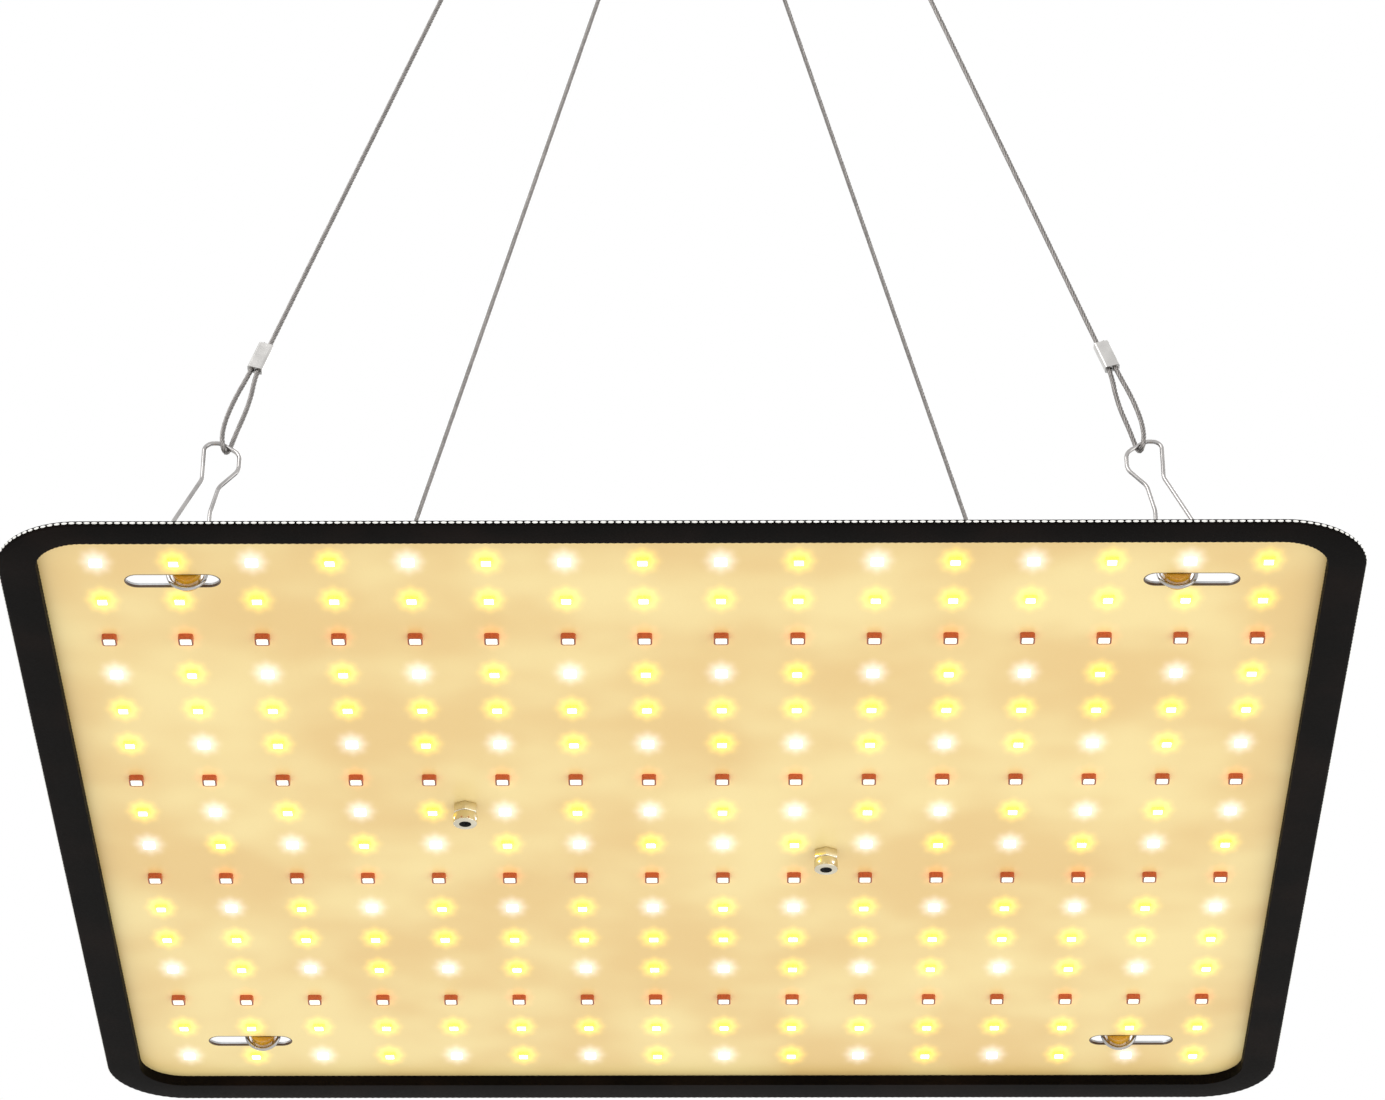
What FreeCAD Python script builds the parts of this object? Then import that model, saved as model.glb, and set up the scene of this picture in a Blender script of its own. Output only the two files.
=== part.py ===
"""LED grow light: a flat square board of lights in a ribbed black edge guard, hung by wire hooks.

Millimetres, +Z up. The origin is midway between the inner crowns of the two carabiners that carry
the light. The lights face down (-Z), +X is to the right and +Y is towards the rear edge.
"""
import FreeCAD, Part

import math
import os

import Sketcher
from FreeCAD import Placement, Rotation, Vector

NAME = "led_grow_light"
doc = FreeCAD.newDocument(NAME)

# ---------------------------------------------------------------------------------------------
# Driving dimensions: alias, value, meaning
# ---------------------------------------------------------------------------------------------
DIMENSIONS = [
    ("panel_width", 310.0, "outside width of the edge guard, along X"),
    ("panel_depth", 310.0, "outside depth of the edge guard, along Y"),
    ("panel_corner", 20.0, "outside corner radius of the edge guard"),
    ("guard_face", 8.75, "width of the guard's flat face around the board"),
    ("guard_proud", 2.9, "how far the guard stands below the board's light side"),
    ("guard_back", 0.8, "thickness of the guard's lip over the board's back"),
    ("guard_slope", 6.8, "how far the guard's sloping back reaches in from its nose"),
    ("guard_fall", 3.7, "how far the guard's back falls towards its nose"),
    ("guard_nose", 0.7, "rounding of the guard's lower outer edge"),
    ("guard_grip", 2.5, "how far the guard reaches over the board's edge"),
    ("guard_gap", 0.05, "clearance of the board in the guard"),
    ("board_thick", 1.0, "thickness of the aluminium board"),
    ("drop", 392.8, "from the carabiners' inner crowns down to the board's light side"),
    ("lean", 11.02, "angle at which each rope's plane leans inwards, degrees"),
    ("led_pitch", 17.75, "distance between neighbouring lights"),
    ("white_led_side", 3.0, "side of a white light's package"),
    ("white_led_tall", 0.7, "height of a white light's package"),
    ("red_led_side", 3.5, "side of a red light's package"),
    ("red_led_tall", 1.4, "height of a red light's package"),
    ("slot_inset_x", 116.3, "slot centre from the middle, along X"),
    ("slot_inset_y", 124.25, "slot centre from the middle, along Y"),
    ("slot_length", 21.5, "length of a hanging slot"),
    ("slot_width", 5.5, "width of a hanging slot"),
    ("hook_inset", 113.05, "middle of a hook's lower bend from the middle, along X"),
    ("hook_wire", 1.05, "diameter of the hook's wire"),
    ("hook_bend", 4.33, "radius of the hook's lower bend, at the wire's middle"),
    ("hook_dip", 2.2, "how far the wire's middle dips below the board's light side"),
    ("saddle_gap", 0.35, "clearance between a saddle and the hook's bend"),
    ("saddle_flange", 1.2, "thickness of a saddle's flange"),
    ("saddle_reach", 3.0, "how far a saddle's flange lies on the board past the slot"),
    ("rope_size", 1.2, "diameter of the wire rope"),
    ("ferrule_long", 8.0, "length of a rope ferrule"),
    ("ferrule_wide", 3.6, "width of a rope ferrule"),
    ("ferrule_thick", 2.2, "thickness of a rope ferrule"),
    ("strand_pitch", 1.4, "distance between the two strands in a ferrule"),
    ("ferrule_out", 99.0, "ferrule's middle from the middle, along X"),
    ("ferrule_up", 68.6, "ferrule's middle above the board, along the rope's plane"),
    ("link_rod", 3.5, "diameter of the carabiner's rod"),
    ("link_long", 29.0, "length of the carabiner, between rod middles"),
    ("link_wide", 16.0, "width of the carabiner, between rod middles"),
    ("tongue_thick", 1.4, "thickness of the tongue that the gate turns on"),
    ("gate_pin", 1.0, "diameter of the gate's pin"),
    ("fit_gap", 0.05, "running clearance of the gate on its pin and tongue"),
    ("case_x", -9.75, "middle of the driver's case, along X"),
    ("case_y", 1.075, "middle of the driver's case, along Y"),
    ("fixing_past", 6.2, "from an end of the driver's base to its fixing, along X"),
    ("fixing_aside", 12.625, "from the case's middle to a fixing, along Y"),
    ("case_length", 76.0, "length of the driver's base"),
    ("case_width", 46.0, "width of the driver's base"),
    ("case_height", 28.0, "height of the driver's case"),
    ("case_wall", 1.2, "wall of the driver's case"),
    ("floor_thick", 1.5, "floor and ears of the driver's base"),
    ("ear_wide", 12.0, "width of an ear of the driver's base"),
    ("ear_end", 6.0, "from a fixing to the end of its ear"),
    ("pad_thick", 0.5, "thermal pad under the driver"),
    ("cover_gap", 0.15, "clearance between the driver's cover and base"),
    ("screw_size", 2.9, "diameter of the fixing screws' thread"),
    ("screw_hole", 3.3, "diameter of the holes for the fixing screws"),
    ("screw_head", 5.6, "diameter of the fixing screws' heads"),
    ("head_tall", 2.2, "height of the fixing screws' heads"),
    ("screw_out", 3.9, "how far the screws stand out below the board"),
    ("nut_flats", 5.5, "width across the lock nuts' flats"),
    ("nut_hex", 2.4, "height of the lock nuts' hexagon"),
    ("nut_tall", 5.0, "height of the lock nuts with their collars"),
    ("circuit_lift", 3.0, "height of the driver circuit's standoffs"),
    ("circuit_thick", 1.6, "thickness of the driver's circuit board"),
    ("inlet_bore", 6.8, "bore of the supply gland"),
    ("inlet_up", 15.0, "supply gland's axis above the board's light side"),
    ("lead_size", 1.8, "diameter of an output lead"),
    ("lead_pitch", 3.2, "distance between the two output leads"),
    ("lead_up", 12.0, "output leads' axis above the board's light side"),
    ("socket_x", 58.0, "mouth of the board's socket, along X"),
    ("socket_up", 3.6, "leads' axis in the board's socket above the board's light side"),
]

sheet = doc.addObject("Spreadsheet::Sheet", "Sizes")
sheet.Label = "Sizes"
for row, (alias, value, meaning) in enumerate(DIMENSIONS, start=1):
    sheet.set(f"A{row}", meaning)
    sheet.set(f"B{row}", str(value))
    sheet.setAlias(f"B{row}", alias)
doc.recompute()


def size(alias):
    """Return one driving dimension as a number."""
    return float(sheet.get(alias))


def cell(alias):
    """Return the expression that reads one driving dimension."""
    return f"Sizes.{alias}"


# The light pattern: what each row of the board carries, from the front row to the rear one.
LIGHTS_PER_ROW = 16
RED_ROWS = (2, 6, 9, 13)
WARM_ROWS = (1, 4, 11, 14)
COOL_ON_ODD_ROWS = (5, 7, 10)

BOARD_TOP = f"{cell('board_thick')} - {cell('drop')}"
FLOOR_Z = f"{BOARD_TOP} + {cell('pad_thick')}"
CASE_X = cell("case_x")
CASE_Y = cell("case_y")
CIRCUIT_Z = f"{FLOOR_Z} + {cell('floor_thick')} + {cell('circuit_lift')}"
PARTS_Z = f"{CIRCUIT_Z} + {cell('circuit_thick')}"
FIXING_SIDES = {"left": -1, "right": 1}
sub_parts = []


def fixing(side):
    """Return the expressions for a driver fixing's X and Y."""
    sign = FIXING_SIDES[side]
    x = f"({CASE_X} + {sign} * ({cell('case_length')} / 2 + {cell('fixing_past')}))"
    return x, f"({CASE_Y} + {sign} * {cell('fixing_aside')})"


def fixing_start(side):
    """Return a driver fixing's X and Y as numbers."""
    sign = FIXING_SIDES[side]
    x = size("case_x") + sign * (size("case_length") / 2 + size("fixing_past"))
    return x, size("case_y") + sign * size("fixing_aside")


# ---------------------------------------------------------------------------------------------
# Small helpers
# ---------------------------------------------------------------------------------------------
def keep(item, label):
    """Name a finished sub-part and list it for export."""
    item.Label = label
    sub_parts.append(item)
    return item


def place_by(item, x, y, z):
    """Bind an object's place to three expressions."""
    for axis, rule in zip("xyz", (x, y, z)):
        item.setExpression(f"Placement.Base.{axis}", str(rule))


def block(name, x, y, z):
    """Make a box between three pairs of expressions."""
    box = doc.addObject("Part::Box", name)
    for side, (low, high) in zip(("Length", "Width", "Height"), (x, y, z)):
        box.setExpression(side, f"({high}) - ({low})")
    place_by(box, x[0], y[0], z[0])
    return box


ALONG = {"x": Rotation(Vector(0, 1, 0), 90), "y": Rotation(Vector(1, 0, 0), -90), "z": Rotation()}


def rod(name, axis, radius, long, x, y, z):
    """Make a cylinder that starts at a place and runs along an axis."""
    cylinder = doc.addObject("Part::Cylinder", name)
    cylinder.Placement = Placement(Vector(), ALONG[axis])
    cylinder.setExpression("Radius", str(radius))
    cylinder.setExpression("Height", str(long))
    place_by(cylinder, x, y, z)
    return cylinder


def joined(name, pieces):
    """Fuse several objects into one solid."""
    fuse = doc.addObject("Part::MultiFuse", name)
    fuse.Shapes = pieces
    fuse.Refine = True
    return fuse


def without(name, base, tools):
    """Cut tools out of a base."""
    cut = doc.addObject("Part::Cut", name)
    cut.Base = base
    cut.Tool = tools[0] if len(tools) == 1 else joined(name + "_tools", tools)
    cut.Refine = True
    return cut


def group(name, pieces):
    """Hold several solids as one object, each still separate."""
    compound = doc.addObject("Part::Compound", name)
    compound.Links = pieces
    return compound


def about(middle, half):
    """Return the pair of expressions half each side of a middle."""
    return (f"{middle} - ({half})", f"{middle} + ({half})")


def shaped(label, shape, placement=None):
    """Add a sub-part whose shape is made by hand, then place it."""
    item = doc.addObject("Part::Feature", label)
    item.Shape = shape
    if placement is not None:
        item.Placement = placement.multiply(shape.Placement)
    return keep(item, label)


# ---------------------------------------------------------------------------------------------
# Sketches
# ---------------------------------------------------------------------------------------------
def plane_of(body, role):
    """Find one of a body's own origin planes."""
    return next(f for f in body.Origin.OriginFeatures if f.Role == role)


def new_sketch(body, name, offset=None):
    """Add a sketch on the body's XY plane, at a height given by an expression."""
    sketch = body.newObject("Sketcher::SketchObject", name)
    sketch.AttachmentSupport = [(plane_of(body, "XY_Plane"), "")]
    sketch.MapMode = "FlatFace"
    if offset is not None:
        sketch.setExpression("AttachmentOffset.Base.z", offset)
    return sketch


def drive(sketch, constraint, rule):
    """Bind a sketch constraint to an expression."""
    sketch.setExpression(f"Constraints[{constraint}]", rule)


def rounded_rectangle(sketch, wide, deep, radius, start):
    """Draw a rounded rectangle about the origin; start holds rough numbers for the solver."""
    w, d, r = start[0] / 2, start[1] / 2, start[2]
    turns = [(-1, -1, 180), (1, -1, 270), (1, 1, 0), (-1, 1, 90)]
    centres = [Vector(sx * (w - r), sy * (d - r), 0) for sx, sy, _ in turns]
    arcs = []
    for centre, (_, _, angle) in zip(centres, turns):
        circle = Part.Circle(centre, Vector(0, 0, 1), r)
        a, b = math.radians(angle), math.radians(angle + 90)
        arcs.append(sketch.addGeometry(Part.ArcOfCircle(circle, a, b)))
    outward = [Vector(0, -r, 0), Vector(r, 0, 0), Vector(0, r, 0), Vector(-r, 0, 0)]
    for i in range(4):
        nxt = (i + 1) % 4
        line = Part.LineSegment(centres[i] + outward[i], centres[nxt] + outward[i])
        side = sketch.addGeometry(line)
        sketch.addConstraint(Sketcher.Constraint("Tangent", arcs[i], 2, side, 1))
        sketch.addConstraint(Sketcher.Constraint("Tangent", side, 2, arcs[nxt], 1))
        kind = "Horizontal" if i % 2 == 0 else "Vertical"
        sketch.addConstraint(Sketcher.Constraint(kind, side))
    for i in (1, 2, 3):
        sketch.addConstraint(Sketcher.Constraint("Equal", arcs[0], arcs[i]))
    sketch.addConstraint(Sketcher.Constraint("Symmetric", arcs[0], 3, arcs[2], 3, -1, 1))
    sizes = [
        (Sketcher.Constraint("Radius", arcs[0], r), radius),
        (Sketcher.Constraint("DistanceX", arcs[0], 3, arcs[1], 3, 2 * (w - r)), f"{wide} - 2 * ({radius})"),
        (Sketcher.Constraint("DistanceY", arcs[0], 3, arcs[3], 3, 2 * (d - r)), f"{deep} - 2 * ({radius})"),
    ]
    for constraint, rule in sizes:
        drive(sketch, sketch.addConstraint(constraint), rule)


def obround(sketch, x, y, long, wide, x_rule, y_rule):
    """Draw a slot along X about a place; x, y, long and wide are rough numbers for the solver."""
    r, half = wide / 2, (long - wide) / 2
    up = Vector(0, 0, 1)
    left, right = Vector(x - half, y, 0), Vector(x + half, y, 0)
    a = sketch.addGeometry(Part.ArcOfCircle(Part.Circle(left, up, r), math.pi / 2, 3 * math.pi / 2))
    b = sketch.addGeometry(Part.ArcOfCircle(Part.Circle(right, up, r), -math.pi / 2, math.pi / 2))
    lower = sketch.addGeometry(Part.LineSegment(left - Vector(0, r, 0), right - Vector(0, r, 0)))
    upper = sketch.addGeometry(Part.LineSegment(right + Vector(0, r, 0), left + Vector(0, r, 0)))
    for pair in ((a, 2, lower, 1), (lower, 2, b, 1), (b, 2, upper, 1), (upper, 2, a, 1)):
        sketch.addConstraint(Sketcher.Constraint("Tangent", *pair))
    sketch.addConstraint(Sketcher.Constraint("Horizontal", lower))
    rules = [
        (Sketcher.Constraint("Radius", a, r), f"{cell('slot_width')} / 2"),
        (
            Sketcher.Constraint("DistanceX", a, 3, b, 3, 2 * half),
            f"{cell('slot_length')} - {cell('slot_width')}",
        ),
        (Sketcher.Constraint("DistanceX", -1, 1, a, 3, x - half), x_rule),
        (Sketcher.Constraint("DistanceY", -1, 1, a, 3, y), y_rule),
    ]
    for constraint, rule in rules:
        drive(sketch, sketch.addConstraint(constraint), rule)


def pad(body, name, sketch, length):
    """Pad a sketch upwards."""
    feature = body.newObject("PartDesign::Pad", name)
    feature.Profile = sketch
    feature.setExpression("Length", length)
    return feature


def pocket(body, name, sketch, length=None):
    """Pocket a sketch upwards by a length, or through everything both ways."""
    feature = body.newObject("PartDesign::Pocket", name)
    feature.Profile = sketch
    feature.Reversed = True
    if length is None:
        feature.Type = "ThroughAll"
    else:
        feature.setExpression("Length", length)
    doc.recompute()
    return feature


def edges_level(shape, height, inside=None, outside=None):
    """Name the edges at one height, inside or outside a square ring of half-widths."""
    names = []
    for number, edge in enumerate(shape.Edges, start=1):
        box = edge.BoundBox
        if abs(box.ZMin - height) > 1e-4 or abs(box.ZMax - height) > 1e-4:
            continue
        middle = edge.valueAt((edge.FirstParameter + edge.LastParameter) / 2)
        reach = max(abs(middle.x), abs(middle.y))
        if inside is not None and reach > inside:
            continue
        if outside is not None and reach < outside:
            continue
        names.append(f"Edge{number}")
    return names


# ---------------------------------------------------------------------------------------------
# Board, edge guard and lights
# ---------------------------------------------------------------------------------------------
BOARD_WIDE = f"{cell('panel_width')} - 2 * ({cell('guard_face')} - {cell('guard_grip')})"
BOARD_DEEP = f"{cell('panel_depth')} - 2 * ({cell('guard_face')} - {cell('guard_grip')})"
BOARD_CORNER = f"{cell('panel_corner')} - ({cell('guard_face')} - {cell('guard_grip')})"


def board_start():
    """Return the board's rough width, depth and corner radius."""
    edge = size("guard_face") - size("guard_grip")
    return size("panel_width") - 2 * edge, size("panel_depth") - 2 * edge, size("panel_corner") - edge


def make_board():
    """The aluminium light board, with four hanging slots and two holes for the driver's screws."""
    body = doc.addObject("PartDesign::Body", "board_body")
    outline = new_sketch(body, "board_outline")
    rounded_rectangle(outline, BOARD_WIDE, BOARD_DEEP, BOARD_CORNER, board_start())
    pad(body, "board_plate", outline, cell("board_thick"))
    doc.recompute()
    slots = new_sketch(body, "hanging_slots")
    half = f"({cell('slot_length')} - {cell('slot_width')}) / 2"
    for sx in (-1, 1):
        for sy in (-1, 1):
            obround(
                slots,
                sx * size("slot_inset_x"),
                sy * size("slot_inset_y"),
                size("slot_length"),
                size("slot_width"),
                f"{sx} * {cell('slot_inset_x')} - {half}",
                f"{sy} * {cell('slot_inset_y')}",
            )
    pocket(body, "slot_cuts", slots)
    holes = new_sketch(body, "fixing_holes")
    for side in FIXING_SIDES:
        (x, y), (x_rule, y_rule) = fixing_start(side), fixing(side)
        circle = Part.Circle(Vector(x, y, 0), Vector(0, 0, 1), size("screw_hole") / 2)
        ring = holes.addGeometry(circle)
        rules = [
            (Sketcher.Constraint("Radius", ring, size("screw_hole") / 2), f"{cell('screw_hole')} / 2"),
            (Sketcher.Constraint("DistanceX", -1, 1, ring, 3, x), x_rule),
            (Sketcher.Constraint("DistanceY", -1, 1, ring, 3, y), y_rule),
        ]
        for constraint, rule in rules:
            drive(holes, holes.addConstraint(constraint), rule)
    pocket(body, "fixing_cuts", holes)
    place_by(body, 0, 0, f"-{cell('drop')}")
    keep(body, "led_board")


def make_guard():
    """The ribbed rubber edge guard: a ring with a channel that grips the board all round."""
    body = doc.addObject("PartDesign::Body", "guard_body")
    tall = f"{cell('guard_proud')} + {cell('board_thick')} + {cell('guard_back')}"
    outline = new_sketch(body, "guard_outline")
    start = size("panel_width"), size("panel_depth"), size("panel_corner")
    rounded_rectangle(outline, cell("panel_width"), cell("panel_depth"), cell("panel_corner"), start)
    ring = pad(body, "guard_plate", outline, tall)
    doc.recompute()
    slope = body.newObject("PartDesign::Chamfer", "guard_slope")
    top = size("guard_proud") + size("board_thick") + size("guard_back")
    slope.Base = (ring, edges_level(ring.Shape, top))
    slope.ChamferType = "Two distances"
    slope.setExpression("Size", cell("guard_slope"))
    slope.setExpression("Size2", cell("guard_fall"))
    doc.recompute()
    nose_z = top - size("guard_fall")
    if not edges_level(slope.Shape, nose_z):
        slope.FlipDirection = True
        doc.recompute()
    nose = body.newObject("PartDesign::Fillet", "guard_nose")
    nose.Base = (slope, edges_level(slope.Shape, 0.0))
    nose.setExpression("Radius", cell("guard_nose"))
    doc.recompute()
    face = cell("guard_face")
    window = new_sketch(body, "guard_window")
    wide, deep = f"{cell('panel_width')} - 2 * {face}", f"{cell('panel_depth')} - 2 * {face}"
    inner = [s - 2 * size("guard_face") for s in start[:2]]
    corner = f"{cell('panel_corner')} - {face}"
    rounded_rectangle(window, wide, deep, corner, (*inner, start[2] - size("guard_face")))
    pocket(body, "window_cut", window)
    gap = cell("guard_gap")
    channel = new_sketch(body, "guard_channel", f"{cell('guard_proud')} - {gap}")
    wide, deep = f"{BOARD_WIDE} + 2 * {gap}", f"{BOARD_DEEP} + 2 * {gap}"
    rounded_rectangle(channel, wide, deep, f"{BOARD_CORNER} + {gap}", board_start())
    pocket(body, "channel_cut", channel, f"{cell('board_thick')} + 2 * {gap}")
    place_by(body, 0, 0, f"-{cell('drop')} - {cell('guard_proud')}")
    keep(body, "edge_guard")


def light_kind(row, column):
    """Tell which light sits at a row and column of the board."""
    if row in RED_ROWS:
        return "deep_red"
    if row in WARM_ROWS:
        return "warm_white"
    cool_is_odd = row in COOL_ON_ODD_ROWS
    return "cool_white" if (column % 2 == 1) == cool_is_odd else "warm_white"


def make_lights():
    """The light packages, on a square grid, one node for each colour."""
    pitch, face = size("led_pitch"), -size("drop")
    packages = {"cool_white": [], "warm_white": [], "deep_red": []}
    middle = (LIGHTS_PER_ROW - 1) / 2
    for row in range(LIGHTS_PER_ROW):
        for column in range(LIGHTS_PER_ROW):
            kind = light_kind(row, column)
            family = "red" if kind == "deep_red" else "white"
            side, tall = size(f"{family}_led_side"), size(f"{family}_led_tall")
            x, y = (column - middle) * pitch, (row - middle) * pitch
            low = Vector(x - side / 2, y - side / 2, face - tall)
            packages[kind].append(Part.makeBox(side, side, tall, low))
    for kind, boxes in packages.items():
        shaped(f"{kind}_leds", Part.makeCompound(boxes))


# ---------------------------------------------------------------------------------------------
# Hanging gear. Each rope's plane holds its hooks, rope and carabiner. In that plane's own frame
# X is across the light, Z runs up the plane from the slots, and Y is square to it.
# ---------------------------------------------------------------------------------------------
def rope_plane(front):
    """Return the placement of the front or rear rope's plane."""
    side, turn = (-1, -1) if front else (1, 1)
    base = Vector(0, side * size("slot_inset_y"), -size("drop"))
    return Placement(base, Rotation(Vector(1, 0, 0), turn * size("lean")))


def turn_at(before, corner, after):
    """Return how far the route turns at a corner, in radians."""
    return (corner - before).getAngle(after - corner)


def smooth_path(points, radii):
    """Join points by straight runs with an arc of the given radius tangent at each corner."""
    edges = []
    last = points[0]
    for i in range(1, len(points) - 1):
        before, corner, after = points[i - 1], points[i], points[i + 1]
        into = (before - corner).normalize()
        away = (after - corner).normalize()
        half = turn_at(before, corner, after) / 2
        radius = radii[i - 1]
        back = radius * math.tan(half)
        start, end = corner + into * back, corner + away * back
        towards = (into + away).normalize()
        middle = corner + towards * (radius / math.cos(half) - radius)
        edges.append(Part.LineSegment(last, start).toShape())
        edges.append(Part.Arc(start, middle, end).toShape())
        last = end
    edges.append(Part.LineSegment(last, points[-1]).toShape())
    return edges


def widest_radii(points):
    """Return the arc radius at each corner: 0.45 of its shorter run over the half turn's tangent."""
    radii = []
    for before, corner, after in zip(points, points[1:], points[2:]):
        run = min((corner - before).Length, (after - corner).Length)
        radii.append(0.45 * run / math.tan(turn_at(before, corner, after) / 2))
    return radii


def tube(edges, diameter):
    """Sweep a round section along a chain of edges."""
    path = Part.Wire(edges)
    first = path.Edges[0]
    start, along = first.valueAt(first.FirstParameter), first.tangentAt(first.FirstParameter)
    ring = Part.Wire(Part.Circle(start, along, diameter / 2).toShape())
    return path.makePipeShell([ring], True, False)


def hook_path():
    """The left hook's wire: a narrow upper loop, a neck, and a U bend around the saddle."""
    bend = size("hook_bend")
    low = bend - size("hook_dip")
    points = [
        (bend, 4.2),
        (bend - 0.2, 20.5),
        (bend + 1.4, 28.3),
        (bend + 5.7, 33.4),
        (bend + 5.8, 38.5),
        (bend + 1.1, 42.0),
        (bend - 2.6, 41.9),
        (bend - 2.6, 30.9),
        (-bend, 17.5),
        (-bend, low),
    ]
    radii = [8.0, 4.0, 3.4, 3.2, 2.8, 2.2, 3.5, 4.0]
    edges = smooth_path([Vector(x, 0, z) for x, z in points], radii)
    sides = Vector(-bend, 0, low), Vector(0, 0, low - bend), Vector(bend, 0, low)
    edges.append(Part.Arc(*sides).toShape())
    edges.append(Part.LineSegment(sides[2], Vector(bend, 0, 4.0)).toShape())
    return edges


def mirrored(shape, normal):
    """Mirror a shape in the plane through the origin with a given normal."""
    return shape.mirror(Vector(), normal)


ACROSS = Vector(1, 0, 0)
SQUARE = Vector(0, 1, 0)


def make_hooks():
    """Four wire hooks, one in each slot."""
    left = tube(hook_path(), size("hook_wire"))
    left.translate(Vector(-size("hook_inset"), 0, 0))
    for front in (True, False):
        for side, shape in (("left", left), ("right", mirrored(left, ACROSS))):
            end = "front" if front else "rear"
            shaped(f"hook_{end}_{side}", shape.copy(), rope_plane(front))


def make_saddles():
    """Four saddles: a flange on the board's back and a round nose through the slot for the hook."""
    radius = f"{cell('hook_bend')} - {cell('hook_wire')} / 2 - {cell('saddle_gap')}"
    nose_half = f"{cell('slot_width')} / 2 - {cell('cover_gap')}"
    flange_half = f"{cell('slot_width')} / 2 + {cell('saddle_reach')}"
    axis_z = f"{cell('hook_bend')} - {cell('hook_dip')} - {cell('drop')}"
    for end, sy in (("front", -1), ("rear", 1)):
        for side, sx in (("left", -1), ("right", 1)):
            tag = f"{end}_{side}"
            x, y = f"{sx} * {cell('hook_inset')}", f"{sy} * {cell('slot_inset_y')}"
            start = f"{y} - ({nose_half})"
            barrel = rod(f"nose_{tag}", "y", radius, f"2 * ({nose_half})", x, start, axis_z)
            keep_z = (f"{axis_z} - 2 * ({radius})", f"{BOARD_TOP} + {cell('saddle_flange')} / 2")
            lower = doc.addObject("Part::Common", f"nose_lower_{tag}")
            lower.Base = barrel
            lower.Tool = block(f"nose_keep_{tag}", about(x, radius), about(y, nose_half), keep_z)
            top = (BOARD_TOP, f"{BOARD_TOP} + {cell('saddle_flange')}")
            flange = block(f"flange_{tag}", about(x, f"{radius} - 0.2"), about(y, flange_half), top)
            keep(joined(f"saddle_{tag}", [lower, flange]), f"hook_saddle_{tag}")


def link_heights():
    """Return the heights of the carabiner's lower rod and inner crown up the rope's plane."""
    crown = size("drop") / math.cos(math.radians(size("lean")))
    return crown + size("link_rod") / 2 - size("link_long"), crown


def rope_frame():
    """Return the left ferrule's standing bore, the directions up and out, and the wrap radius."""
    low_rod, _ = link_heights()
    wrap = size("link_rod") / 2 + size("rope_size") / 2 + 0.25
    start = Vector(-size("ferrule_out"), 0, size("ferrule_up"))
    along = Vector(0, 0, low_rod) - start
    for _ in range(6):
        outward = Vector(-along.z, 0, along.x).normalize()
        along = (Vector(0, 0, low_rod) + outward * wrap) - start
    return start, along.normalize(), outward, wrap


def rope_route():
    """The rope's route over the carabiner, from the left tail to the right one."""
    low_rod, _ = link_heights()
    start, along, outward, wrap = rope_frame()
    tail = start + outward * size("strand_pitch")
    half = size("ferrule_long") / 2
    seat = size("hook_bend") - size("hook_inset")
    left = [
        tail + along * (half + 0.6),
        tail - along * (half + 1.0),
        Vector(seat + 3.4, -0.6, 54.5),
        Vector(seat + 1.4, -1.1, 45.5),
        Vector(seat + 1.7, -1.3, 39.4),
        Vector(seat + 2.8, 1.3, 39.4),
        Vector(seat + 4.2, 1.1, 45.2),
        Vector(seat + 7.2, 0.5, 55.0),
        start - along * (half + 1.0),
        Vector(-wrap * (1 - outward.z) / -outward.x, 0, low_rod + wrap),
    ]
    return left + [Vector(-p.x, p.y, p.z) for p in reversed(left)]


def make_ropes():
    """Two wire ropes, each with an eye in two hooks and its middle over a carabiner."""
    route = rope_route()
    radii = widest_radii(route)
    shape = tube(smooth_path(route, radii), size("rope_size"))
    length = shape.Volume / (math.pi * size("rope_size") ** 2 / 4)
    print("rope length", round(length, 1), "radii", [round(r, 2) for r in radii])
    for end, front in (("front", True), ("rear", False)):
        shaped(f"rope_{end}", shape.copy(), rope_plane(front))


def make_ferrules():
    """The pressed sleeves that close each rope's eyes, two for each rope."""
    start, along, outward, _ = rope_frame()
    long, wide, thick = size("ferrule_long"), size("ferrule_wide"), size("ferrule_thick")
    body = Part.makeBox(wide, thick, long, Vector(-wide / 2, -thick / 2, -long / 2))
    body = body.makeFillet(0.5, [e for e in body.Edges if abs(e.tangentAt(0).z) > 0.9])
    half_pitch = size("strand_pitch") / 2
    for x in (-half_pitch, half_pitch):
        bore = Part.makeCylinder(size("rope_size") / 2 + 0.06, long + 2, Vector(x, 0, -long / 2 - 1))
        body = body.cut(bore)
    turn = math.degrees(math.atan2(along.x, along.z))
    place = Placement(start + outward * half_pitch, Rotation(Vector(0, 1, 0), turn))
    left = body.transformed(place.toMatrix())
    pair = Part.makeCompound([left, mirrored(left, ACROSS)])
    for end, front in (("front", True), ("rear", False)):
        shaped(f"ferrules_{end}", pair.copy(), rope_plane(front))


def link_block(x, y, z):
    """A box in the carabiner's frame between three pairs of numbers."""
    low = Vector(x[0], y[0], z[0])
    return Part.makeBox(x[1] - x[0], y[1] - y[0], z[1] - z[0], low)


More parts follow.
